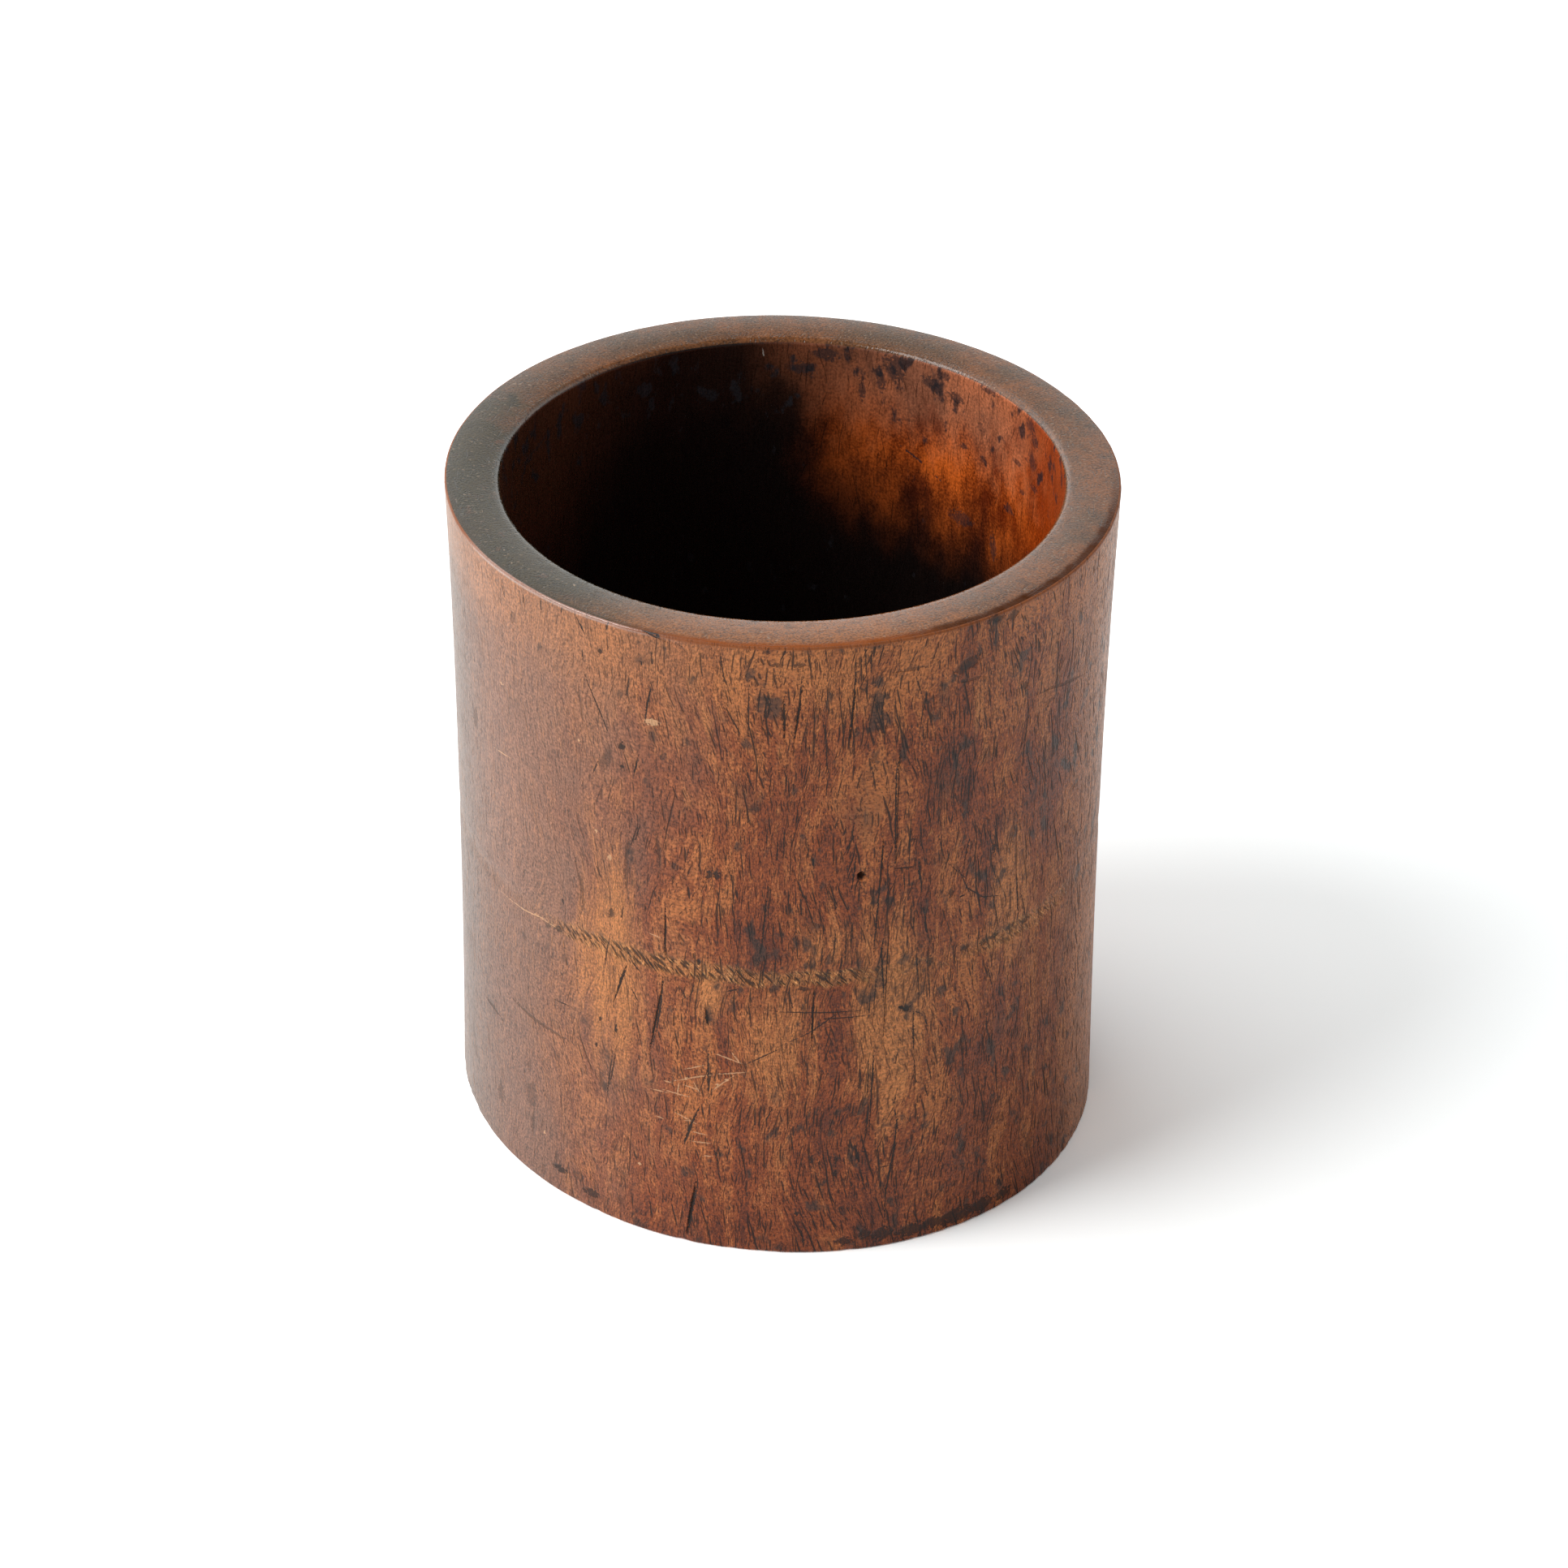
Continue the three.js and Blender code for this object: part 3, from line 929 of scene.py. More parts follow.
# %% Build the mesh of the pot
MAP_ROWS = {
    "front": (0.700, 0.992),
    "back": (0.400, 0.692),
    "inside": (0.170, 0.392),
    "mouth": (0.110, 0.162),
    "under": (0.008, 0.102),
}
MAP_SIDE_MARGIN = 0.005


def grid_faces(rows, across):
    """Quads of a grid that closes on itself both ways, facing outwards."""
    row, column = np.meshgrid(np.arange(rows), np.arange(across), indexing="ij")
    next_row = (row + 1) % rows
    next_column = (column + 1) % across
    corners = [row * across + column, row * across + next_column]
    corners += [next_row * across + next_column, next_row * across + column]
    return np.stack(corners, axis=-1).reshape(-1, 4).tolist()


def distance_in_band():
    """Length along the profile from the start of each station's band, and each band's whole length."""
    steps = np.hypot(*(np.roll(stations, -1, axis=0) - stations).T)
    starts = np.zeros(len(stations))
    lengths = np.zeros(len(FINISHES))
    for number in range(len(stations)):
        starts[number] = lengths[bands[number]]
        lengths[bands[number]] += steps[number]
    return starts, steps, lengths


def map_places():
    """Two numbers for every corner of every face: its place on the flat map."""
    starts, steps, lengths = distance_in_band()
    following = np.append(columns[1:], columns[0] + around_full)
    half = around_full / 4
    places = np.zeros((len(stations), len(columns), 4, 2))
    for number, band in enumerate(bands):
        name = FINISHES[band]
        left, right = columns.copy(), following.copy()
        rows = np.zeros((len(columns), 2))
        if name == "outside":
            on_front = (columns >= -half) & (columns < half)
            behind = np.where(columns < 0, around_full, 0)
            left = np.where(on_front, left + half, left + behind - half)
            right = np.where(on_front, right + half, right + behind - half)
            scale = 1 / (2 * half)
            rows[:] = np.where(on_front[:, None], MAP_ROWS["front"], MAP_ROWS["back"])
        else:
            left, right = left + 2 * half, right + 2 * half
            scale = 1 / around_full
            rows[:] = MAP_ROWS[name]
        width = 1 - 2 * MAP_SIDE_MARGIN
        left = np.clip(MAP_SIDE_MARGIN + width * left * scale, 0, 1)
        right = np.clip(MAP_SIDE_MARGIN + width * right * scale, 0, 1)
        low = rows[:, 0] + (rows[:, 1] - rows[:, 0]) * starts[number] / lengths[band]
        high = rows[:, 0] + (rows[:, 1] - rows[:, 0]) * (starts[number] + steps[number]) / lengths[band]
        places[number] = np.stack([
            np.column_stack([left, low]), np.column_stack([right, low]),
            np.column_stack([right, high]), np.column_stack([left, high]),
        ], axis=1)
    return places


def mesh_object(name, place_list, faces, values):
    """A smooth mesh object in metres, with its values kept on its points."""
    mesh = bpy.data.meshes.new(name)
    mesh.from_pydata((place_list * MM).tolist(), [], faces)
    for value_name, value in values.items():
        layer = mesh.attributes.new(value_name, "FLOAT", "POINT")
        layer.data.foreach_set("value", np.asarray(value, dtype=np.float32).ravel())
    mesh.polygons.foreach_set("use_smooth", np.ones(len(faces), dtype=bool))
    made = bpy.data.objects.new(name, mesh)
    bpy.context.scene.collection.objects.link(made)
    return made


pot_faces = grid_faces(*around_grid.shape)
point_values = {"dark": dark_values, "pale": pale_values, "ring": ring_values}
pot = mesh_object("hardwood_pot", points.reshape(-1, 3), pot_faces, point_values)
pot_map = pot.data.uv_layers.new(name="OFBake")
pot_map.data.foreach_set("uv", map_places().astype(np.float32).ravel())
pot.data.polygons.foreach_set("material_index", np.repeat(bands, len(columns)).astype(np.int32))
for number, layer in enumerate(layers):
    mark_values = pot.data.attributes.new("mark_" + str(number + 1), "FLOAT_VECTOR", "CORNER")
    mark_values.data.foreach_set("vector", layer.astype(np.float32).ravel())
print("pot faces:", len(pot_faces))

# %% [markdown]
# ## Plug in the floor
#
# The soft heart of the trunk is bored out and stopped with a plug of end grain. It is seen only from above
# through the mouth and from underneath. It is a small turned piece too, with its own map.

# %% Build the mesh of the plug
PLUG_BEVEL = 0.6
PLUG_COLUMNS = 96
PLUG_FACE_ROWS = 12
PLUG_WALL_ROWS = 6
PLUG_MAP_MIDDLES = {"low": (0.25, 0.74), "high": (0.75, 0.74)}
PLUG_MAP_REACH = 0.235
PLUG_MAP_WALL = (0.06, 0.44)
PLUG_WAVE = 0.1
PLUG_MIDDLE_UP = (RECESS_DEPTH + FLOOR_THICKNESS) / 2


def plug_profile():
    """Radii and heights from the middle of the foot face, up the taper, to the middle of the top face."""
    wide, narrow = PLUG_RADIUS, PLUG_RADIUS - PLUG_TAPER
    low, high = RECESS_DEPTH, FLOOR_THICKNESS
    return np.vstack([
        straight((0, low), (wide - PLUG_BEVEL, low), PLUG_FACE_ROWS)[1:],
        straight((wide, low + PLUG_BEVEL), (narrow, high - PLUG_BEVEL), PLUG_WALL_ROWS),
        straight((narrow - PLUG_BEVEL, high), (0, high), PLUG_FACE_ROWS)[:-1],
    ])


def plug_points(profile):
    """Rings of points and the two middles. Both faces lie back a little, in the waves of end grain."""
    turn = np.linspace(0, 2 * math.pi, PLUG_COLUMNS, endpoint=False)
    across, turn = np.meshgrid(profile[:, 0], turn, indexing="ij")
    up = np.repeat(profile[:, 1:], PLUG_COLUMNS, axis=1)
    wave = PLUG_WAVE * (1 + np.sin(0.7 * across + 2 * np.sin(3 * turn)))
    wave = wave * (across < PLUG_RADIUS - PLUG_TAPER - 1)
    up = up + np.where(up < PLUG_MIDDLE_UP, wave, -wave)
    rings = np.stack([across * np.cos(turn), across * np.sin(turn), up], axis=-1).reshape(-1, 3)
    middles = [(0, 0, RECESS_DEPTH + PLUG_WAVE), (0, 0, FLOOR_THICKNESS - PLUG_WAVE)]
    return np.vstack([rings, middles])


def plug_faces(rows):
    """Quads between the rings and a fan of triangles round each middle."""
    faces = []
    low_middle = rows * PLUG_COLUMNS
    for column in range(PLUG_COLUMNS):
        following = (column + 1) % PLUG_COLUMNS
        faces.append((low_middle, following, column))
        for row in range(rows - 1):
            near_row, far_row = row * PLUG_COLUMNS, (row + 1) * PLUG_COLUMNS
            faces.append((near_row + column, near_row + following, far_row + following, far_row + column))
        top_row = (rows - 1) * PLUG_COLUMNS
        faces.append((low_middle + 1, top_row + column, top_row + following))
    return faces


def plug_map(mesh, rows):
    """Both faces as discs side by side, and the tapered wall as a strip under them."""
    layer = mesh.uv_layers.new(name="OFBake")
    wall_low = PLUG_FACE_ROWS - 1
    for face in mesh.polygons:
        lowest = min(index // PLUG_COLUMNS for index in face.vertices)
        column = face.index // (rows + 1)
        is_wall = len(face.vertices) == 4 and wall_low <= lowest <= wall_low + PLUG_WALL_ROWS + 1
        for corner, index in zip(face.loop_indices, face.vertices):
            x, y, z = mesh.vertices[index].co / MM
            if is_wall:
                share = (index // PLUG_COLUMNS - wall_low) / (PLUG_WALL_ROWS + 2)
                step = (index % PLUG_COLUMNS - column) % PLUG_COLUMNS
                left = 0.02 + 0.96 * (column + step) / PLUG_COLUMNS
                map_up = PLUG_MAP_WALL[0] + share * (PLUG_MAP_WALL[1] - PLUG_MAP_WALL[0])
                layer.data[corner].uv = (left, map_up)
            else:
                side = "low" if z < PLUG_MIDDLE_UP else "high"
                middle_across, middle_along = PLUG_MAP_MIDDLES[side]
                scale = PLUG_MAP_REACH / PLUG_RADIUS
                layer.data[corner].uv = (middle_across + x * scale, middle_along + y * scale)


plug_rings = plug_profile()
plug = mesh_object("floor_plug", plug_points(plug_rings), plug_faces(len(plug_rings)), {})
plug_map(plug.data, len(plug_rings))
print("plug faces:", len(plug.data.polygons))

# %% [markdown]
# ## Floor and light
#
# The pot stands on a white sweep. A large soft lamp shines from the left, a little in front, and a second,
# weaker one from the left and behind, so the shadow falls to the right with a wide soft edge. A dim white
# world fills in. The floor and the world look whiter to the camera and in reflections than they light the
# pot, so the ground is clean white and the wood still renders at about its own colour. The room is white
# behind the pot and dim overhead and in front, which draws the soft gradient across the waxed mouth.

# %% World, lamps and floor
WORLD_FILL = 0.3
WORLD_SHOWN = 1.4
DIM_SHOWN = 0.15
OVERHEAD_FROM = 0.25
OVERHEAD_TO = 0.9
SWEEP_SIDE = 0.1
SWEEP_FADE = 0.4
LAMP_DISTANCE = 3.2
LAMPS = {
    "large_soft_lamp": {"turn": 198, "rise": 41, "wide": 1.9, "tall": 2.8, "power": 62},
    "weaker_lamp_behind": {"turn": 136, "rise": 40, "wide": 3.4, "tall": 3.4, "power": 30},
}
FLOOR_SIZE = 12
FLOOR_WHITE = 0.9
FLOOR_SHOWN = 1.95
FLOOR_GLOW = 0.03
SHADOW_TINT = 0.97


class Wiring:
    """Adds nodes to one tree and joins them, so that a shader can be written like a sum."""

    def __init__(self, tree):
        self.tree = tree

    def join(self, value, socket):
        """A socket takes a link from another socket, or a plain value."""
        if isinstance(value, bpy.types.NodeSocket):
            self.tree.links.new(value, socket)
        else:
            socket.default_value = value

    def node(self, kind, values, **settings):
        """A node with its settings and what goes into its inputs, by their names or numbers."""
        made = self.tree.nodes.new("ShaderNode" + kind)
        for name, setting in settings.items():
            setattr(made, name, setting)
        for socket, value in values.items():
            self.join(value, made.inputs[socket])
        return made

    def maths(self, operation, *values, clamp=False):
        """One step of arithmetic on numbers."""
        made = self.node("Math", dict(enumerate(values)), operation=operation, use_clamp=clamp)
        return made.outputs[0]

    def times(self, first, second, clamp=False):
        """The product of two numbers."""
        return self.maths("MULTIPLY", first, second, clamp=clamp)

    def most(self, values):
        """The largest of many values."""
        largest = values[0]
        for value in values[1:]:
            largest = self.maths("MAXIMUM", largest, value)
        return largest

    def vector_maths(self, operation, first, second):
        """One step of arithmetic on places. A product with a direction comes out as a number."""
        made = self.node("VectorMath", {0: first, 1: second}, operation=operation)
        return made.outputs["Value" if operation == "DOT_PRODUCT" else "Vector"]

    def parts(self, vector):
        """The three numbers of a place or a colour."""
        return list(self.node("SeparateXYZ", {"Vector": vector}).outputs)

    def vector(self, first, second, third):
        """A place from three numbers."""
        return self.node("CombineXYZ", {"X": first, "Y": second, "Z": third}).outputs["Vector"]

    def scaled(self, vector, amount):
        """A place or a colour, made larger or brighter."""
        return self.node("VectorMath", {0: vector, "Scale": amount}, operation="SCALE").outputs["Vector"]

    def kept(self, name, output="Fac"):
        """A value that is kept on the mesh."""
        return self.node("Attribute", {}, attribute_name=name).outputs[output]

    def step(self, value, start, stop):
        """Nothing at the start, one at the stop, and a smooth rise between them."""
        bounds = {"Value": value, "From Min": start, "From Max": stop}
        return self.node("MapRange", bounds, interpolation_type="SMOOTHSTEP").outputs["Result"]

    def noise(self, place, size, detail):
        """Soft noise with features of one size."""
        return self.node("TexNoise", {"Vector": place, "Scale": 1 / size, "Detail": detail}).outputs["Fac"]

    def mix(self, share, first, second):
        """From the first colour to the second."""
        colours = {"Factor": share, "A": first, "B": second}
        made = self.tree.nodes.new("ShaderNodeMix")
        made.data_type = "RGBA"
        for socket in made.inputs:
            if socket.enabled and socket.name in colours:
                self.join(colours[socket.name], socket)
        return next(socket for socket in made.outputs if socket.enabled)

    def use(self, group, values):
        """A node group placed here, and its outputs."""
        return self.node("Group", values, node_tree=group).outputs


def by_ray(wires, fill, shown):
    """One grey for light that fills the scene, and another for what camera and reflections see."""
    path = wires.node("LightPath", {})
    seen = wires.most([path.outputs["Is " + ray + " Ray"] for ray in ("Camera", "Glossy", "Transmission")])
    return wires.mix(seen, (fill, fill, fill, 1), (shown * SHADOW_TINT, shown, shown, 1))


world = bpy.data.worlds.new("white_room")
world.use_nodes = True
world_wires = Wiring(world.node_tree)
world_wires.tree.nodes.clear()
_, towards_back, upwards = world_wires.parts(world_wires.node("TexCoord", {}).outputs["Generated"])
dim = world_wires.maths("MAXIMUM", world_wires.step(upwards, OVERHEAD_FROM, OVERHEAD_TO),
                        world_wires.step(towards_back, SWEEP_SIDE, SWEEP_SIDE - SWEEP_FADE))
bright_side = by_ray(world_wires, WORLD_FILL, WORLD_SHOWN)
dim_side = by_ray(world_wires, WORLD_FILL, DIM_SHOWN)
room = world_wires.mix(dim, bright_side, dim_side)
world_light = world_wires.node("Background", {"Color": room})
world_wires.node("OutputWorld", {"Surface": world_light.outputs[0]})
bpy.context.scene.world = world

for lamp_name, lamp_facts in LAMPS.items():
    turn, rise = math.radians(lamp_facts["turn"]), math.radians(lamp_facts["rise"])
    towards = Vector((math.cos(turn) * math.cos(rise), math.sin(turn) * math.cos(rise), math.sin(rise)))
    lamp_data = bpy.data.lights.new(lamp_name, "AREA")
    lamp_data.shape = "ELLIPSE"
    lamp_data.size = lamp_facts["wide"]
    lamp_data.size_y = lamp_facts["tall"]
    lamp_data.energy = lamp_facts["power"]
    lamp = bpy.data.objects.new(lamp_name, lamp_data)
    lamp.location = middle + LAMP_DISTANCE * towards
    lamp.rotation_euler = towards.to_track_quat("Z", "Y").to_euler()
    bpy.context.scene.collection.objects.link(lamp)
    print(lamp_name, "stands at", [round(value, 2) for value in lamp.location])

floor_corners = FLOOR_SIZE / 2 / MM * np.array([(-1, -1, 0), (1, -1, 0), (1, 1, 0), (-1, 1, 0)])
floor = mesh_object("floor", floor_corners, [(0, 1, 2, 3)], {})
floor_material = bpy.data.materials.new("white_sweep")
floor_material.use_nodes = True
floor_wires = Wiring(floor_material.node_tree)
floor_wires.tree.nodes.clear()
floor_paint = floor_wires.node("BsdfDiffuse", {"Color": by_ray(floor_wires, FLOOR_WHITE, FLOOR_SHOWN)})
floor_glow = floor_wires.node("Emission", {"Color": by_ray(floor_wires, 0, FLOOR_GLOW)})
floor_sum = floor_wires.node("AddShader", {0: floor_paint.outputs[0], 1: floor_glow.outputs[0]})
floor_wires.node("OutputMaterial", {"Surface": floor_sum.outputs[0]})
floor.data.materials.append(floor_material)
bpy.context.scene.view_settings.view_transform = "Standard"
print("floor, metres across:", FLOOR_SIZE)

# %% [markdown]
# ## The wood's own pattern
#
# Two effects run through every face of this wood, so each is one node group. The figure is layers of soft
# noise, from clouds as wide as a thumb to single fibres, drawn out along the trunk. The grain lines are
# the pores and hair splits: each cell of a stretched cell pattern holds at most one short, pointed line.
# A third group draws the marks that were kept on the faces. Each finish mixes these with its own colours.

# %% Groups for figure, grain lines and drawn marks
def start_group(name, given, made):
    """An empty node group, its wiring and the outputs of its input node."""
    group = bpy.data.node_groups.new(name, "ShaderNodeTree")
    for socket_name, kind in given.items():
        group.interface.new_socket(name=socket_name, in_out="INPUT", socket_type="NodeSocket" + kind)
    for socket_name in made:
        group.interface.new_socket(name=socket_name, in_out="OUTPUT", socket_type="NodeSocketFloat")
    return group, Wiring(group), group.nodes.new("NodeGroupInput").outputs


def end_group(wires, values):
    """Joins the named values to the group's outputs."""
    last = wires.tree.nodes.new("NodeGroupOutput")
    for name, value in values.items():
        wires.tree.links.new(value, last.inputs[name])


def stretched_noise(wires, place, size, length, detail):
    """Noise with features of one size across the trunk and another along it, in millimetres."""
    squeezed = wires.vector_maths("MULTIPLY", place, (1 / size, 1 / size, 1 / length))
    return wires.noise(squeezed, 1, detail)


FIGURE_SIZES = {
    "Clouds": (20, 34, 3),
    "Patches": (5.5, 10, 4),
    "Clots": (4.2, 6.5, 6),
    "Streaks": (5, 60, 3),
    "Fibres": (0.5, 4, 2),
    "Grit": (0.6, 0.75, 2),
}
figure_group, wires, given = start_group("wood_figure", {"Place": "Vector"}, FIGURE_SIZES)
end_group(wires, {
    name: stretched_noise(wires, given["Place"], size, length, detail)
    for name, (size, length, detail) in FIGURE_SIZES.items()
})

LINE_INPUTS = ("Cell Wide", "Cell Long", "Line Width", "Share", "Slant", "Seed")
LINE_SHORTEST = 0.16
LINE_SPREAD = 0.3
LINE_SHARPNESS = 1.6
lines_group, wires, given = start_group(
    "grain_lines", {"Place": "Vector", **dict.fromkeys(LINE_INPUTS, "Float")}, ["Lines"])
flat_round, flat_up, _ = wires.parts(given["Place"])
cell_round = wires.maths("ADD", wires.maths("DIVIDE", flat_round, given["Cell Wide"]), given["Seed"])
cell_up = wires.maths("ADD", wires.maths("DIVIDE", flat_up, given["Cell Long"]), given["Seed"])
cells = wires.node("TexVoronoi", {"Vector": wires.vector(cell_round, cell_up, 0), "Scale": 1},
                   voronoi_dimensions="2D").outputs
beside, above, _ = wires.parts(wires.vector_maths(
    "SUBTRACT", wires.vector(cell_round, cell_up, 0), cells["Position"]))
chance_length, chance_shown, chance_width = wires.parts(cells["Color"])
half_length = wires.maths("MULTIPLY_ADD", chance_length, LINE_SPREAD, LINE_SHORTEST)
share_along = wires.maths("DIVIDE", above, half_length)
narrowing = wires.maths("SUBTRACT", 1, wires.times(share_along, share_along))
tilt = wires.times(wires.maths("SUBTRACT", chance_width, 0.5), given["Slant"])
lean_across = wires.times(wires.times(tilt, above), given["Cell Long"])
across = wires.maths("MULTIPLY_ADD", beside, given["Cell Wide"], lean_across)
half_width = wires.times(given["Line Width"], wires.maths("MULTIPLY_ADD", chance_width, 0.4, 0.3))
reach = wires.maths("MAXIMUM", wires.times(half_width, narrowing), 0.0001)
line = wires.maths("SUBTRACT", 1, wires.maths("DIVIDE", wires.maths("ABSOLUTE", across), reach))
shown = wires.maths("LESS_THAN", chance_shown, given["Share"])
end_group(wires, {"Lines": wires.times(wires.times(line, LINE_SHARPNESS, clamp=True), shown)})

MARK_WOBBLE = 2
MARK_SHARPNESS = 2.6
marks_group, wires, given = start_group("drawn_marks", {"Place": "Vector"}, ["Dark", "Pale"])
wobble = wires.noise(given["Place"], 0.8, 2)
wobble = wires.times(wires.maths("SUBTRACT", wobble, 0.5), MARK_WOBBLE)
darks, pales = [], []
for number in range(MARK_LAYERS):
    layer = wires.kept("mark_" + str(number + 1), "Vector")
    mark_across, mark_along, strength = wires.parts(layer)
    mark_along = wires.maths("ADD", mark_along, wobble)
    wide = wires.maths("SUBTRACT", 1, wires.times(mark_along, mark_along))
    depth = wires.maths("SUBTRACT", wide, wires.maths("ABSOLUTE", wires.maths("ADD", mark_across, wobble)))
    depth = wires.times(depth, MARK_SHARPNESS, clamp=True)
    darks.append(wires.times(depth, strength))
    pales.append(wires.times(depth, wires.times(strength, -1)))
end_group(wires, {"Dark": wires.most(darks), "Pale": wires.most(pales)})
print("node groups:", [group.name for group in bpy.data.node_groups])

# %% Shared steps of the finishes
GRAIN_LEAN = 16
GRAIN_WOBBLE = 0.5
LINE_SLANT = 0.5
LINE_SETS = {
    "ring strokes": (1.1, 4.5, 0.6, 0.7, 31.5),
    "ring commas": (1.9, 4.6, 1.7, 0.85, 47.2),
    "small ring commas": (1.3, 3.4, 0.8, 0.6, 12.9),
    "wall glints": (1.1, 8, 0.36, 0.5, 21.6),
    "mouth pores": (1.6, 1.2, 0.4, 0.4, 5.1),
    "mouth rays": (0.9, 7, 0.3, 0.3, 9.4),
    "mouth specks": (1.5, 1.3, 0.5, 0.22, 14.8),
    "cavity lines": (1.5, 8, 0.3, 0.4, 6.3),
    "long cavity lines": (3, 20, 0.4, 0.3, 8.9),
    "end pores": (0.9, 0.9, 0.3, 0.5, 4.2),
}
USUAL_SWING = (0.3, 0.7)
SOFT_SWING = (0.34, 0.66)
FIGURE_SWINGS = {
    "Clouds": SOFT_SWING, "Patches": USUAL_SWING, "Clots": USUAL_SWING,
    "Streaks": SOFT_SWING, "Fibres": USUAL_SWING, "Grit": USUAL_SWING,
}
STRONGER_PATCHES = {**FIGURE_SWINGS, "Patches": (0.32, 0.68)}


def start_finish(name):
    """A material with its wiring and its surface shader."""
    made = bpy.data.materials.new(name)
    made.use_nodes = True
    return Wiring(made.node_tree), made.node_tree.nodes["Principled BSDF"], made


def places_round(wires, radius):
    """Millimetres round from the front, up and out, and the same round with the grain's own lean."""
    place = wires.node("TexCoord", {}).outputs["Object"]
    place = wires.vector_maths("MULTIPLY", place, (1 / MM, 1 / MM, 1 / MM))
    right, back, up = wires.parts(place)
    turn = wires.maths("ARCTAN2", right, wires.times(back, -1))
    around = wires.times(turn, radius)
    lean = wires.maths("SUBTRACT", stretched_noise(wires, place, 30, 46, 1), 0.5)
    leaned = wires.maths("MULTIPLY_ADD", lean, GRAIN_LEAN, around)
    wobble = wires.maths("SUBTRACT", wires.noise(place, 4, 1), 0.5)
    leaned = wires.maths("MULTIPLY_ADD", wobble, GRAIN_WOBBLE, leaned)
    return place, around, up, leaned


def folded(wires, around, radius):
    """Millimetres to the right of the front, back to nothing behind, so that nothing jumps there."""
    sideways = wires.maths("SINE", wires.maths("DIVIDE", around, radius))
    return wires.times(wires.maths("ARCSINE", sideways), radius)


def rolled_place(wires, leaned, up, radius):
    """The leaning place rolled up again, so that noise has no seam at the back."""
    turn = wires.maths("DIVIDE", leaned, radius)
    right = wires.times(wires.maths("SINE", turn), radius)
    back = wires.times(wires.maths("COSINE", turn), -radius)
    return wires.vector(right, back, up)


def distance_out(wires, right, back):
    """Millimetres out from the axis."""
    return wires.node("VectorMath", {0: wires.vector(right, back, 0)}, operation="LENGTH").outputs["Value"]


def grain_lines(wires, flat, wide, long, width, share, seed):
    """One layer of grain lines."""
    given = {"Place": flat, "Cell Wide": wide, "Cell Long": long, "Line Width": width}
    return wires.use(lines_group, {**given, "Share": share, "Slant": LINE_SLANT, "Seed": seed})["Lines"]


def swing(wires, value, low, high):
    """Stretches a noise value from its usual range to between minus and plus one."""
    bounds = {"Value": value, "From Min": low, "From Max": high, "To Min": -1}
    return wires.node("MapRange", bounds).outputs[0]


def figure_layers(wires, place, names, swings=FIGURE_SWINGS):
    """The named layers of the wood's figure at a place, each between minus and plus one."""
    figure = wires.use(figure_group, {"Place": place})
    return [swing(wires, figure[name], *swings[name]) for name in names]


def coats(wires, colours, strengths):
    """Gives a function that lays a named coat over a colour where a mask lets it."""
    def lay(colour, mask, name):
        shade, strength = strengths[name]
        return wires.mix(wires.times(mask, strength), colour, colours[shade])
    return lay


def spans(wires, places):
    """Gives a function that rises from nothing to one over a named span."""
    def span(value, name):
        return wires.step(value, *places[name])
    return span


def relief(wires, surface, height):
    """Bump from a height in millimetres."""
    bump = wires.node("Bump", {"Height": height, "Distance": MM, "Strength": 1})
    wires.join(bump.outputs["Normal"], surface.inputs["Normal"])


def total(wires, *shares):
    """Sum of values, each times its own weight, starting from the first number."""
    result = shares[0]
    for value, weight in shares[1:]:
        result = wires.maths("MULTIPLY_ADD", value, weight, result)
    return result


print("sets of grain lines:", len(LINE_SETS))

# %% [markdown]
# ## The outer wall
#
# Waxed wood with a satin skin. It could be one picture wrapped round, but a picture would show the
# photograph's light and blur at every edge. So the colour is mixed in this order: the wood's tones, with
# painted sheen on the left side, greyer at the left limb, wear and painted sheen along the top, painted shade
# on the right and a golden painted reflection along the right limb; stains and bleached islands; the growth
# ring; then pores and splits.

# %% Finish of the outer wall
WALL_COLOURS = {
    "dark": (0.18, 0.036, 0.011, 1),
    "middle": (0.32, 0.073, 0.019, 1),
    "light": (0.54, 0.175, 0.052, 1),
    # Painted sheen, lighter and greyer over the left side, towards the lamps.
    "painted_sheen": (0.34, 0.172, 0.110, 1),
    # A greyer painted sheen near the left limb.
    "edge": (0.22, 0.13, 0.09, 1),
    "shaded": (0.20, 0.048, 0.010, 1),
    # Golden: bleached islands, wear and glints, and also painted sheen along the top and a painted reflection
    # along the right limb.
    "golden": (0.68, 0.26, 0.085, 1),
    "burnt": (0.34, 0.1, 0.03, 1),
    "stain": (0.045, 0.025, 0.018, 1),
    "line": (0.013, 0.010, 0.009, 1),
    "pale_mark": (0.82, 0.46, 0.24, 1),
    "ring": (0.62, 0.26, 0.085, 1),
    "ring_stroke": (0.82, 0.4, 0.14, 1),
}
GRAIN_LAYERS = {
    "dust": (0.55, 0.9, 0.32, 0.4, 0.1, 0.5),
    "pinpricks": (0.8, 2.4, 0.34, 0.5, 0.15, 0.7),
    "short": (1.15, 5.5, 0.42, 0.36, 0.35, 0.9),
    "middling": (1.8, 12, 0.5, 0.2, 0.42, 1),
    "long": (3.0, 28, 0.54, 0.10, 0.4, 1),
}
WALL_COATS = {
    "painted_sheen": ("painted_sheen", 0.85), "shaded": ("shaded", 0.4), "painted_warm_reflection": ("golden", 0.5),
    "pale": ("golden", 0.85), "dark": ("stain", 0.8), "clots": ("stain", 0.8), "ring": ("ring", 0.5),
    "strokes": ("ring_stroke", 0.95), "glints": ("golden", 0.4), "lines": ("line", 0.9),
    "worn_arris": ("burnt", 0.85), "marks": ("line", 0.95),
}
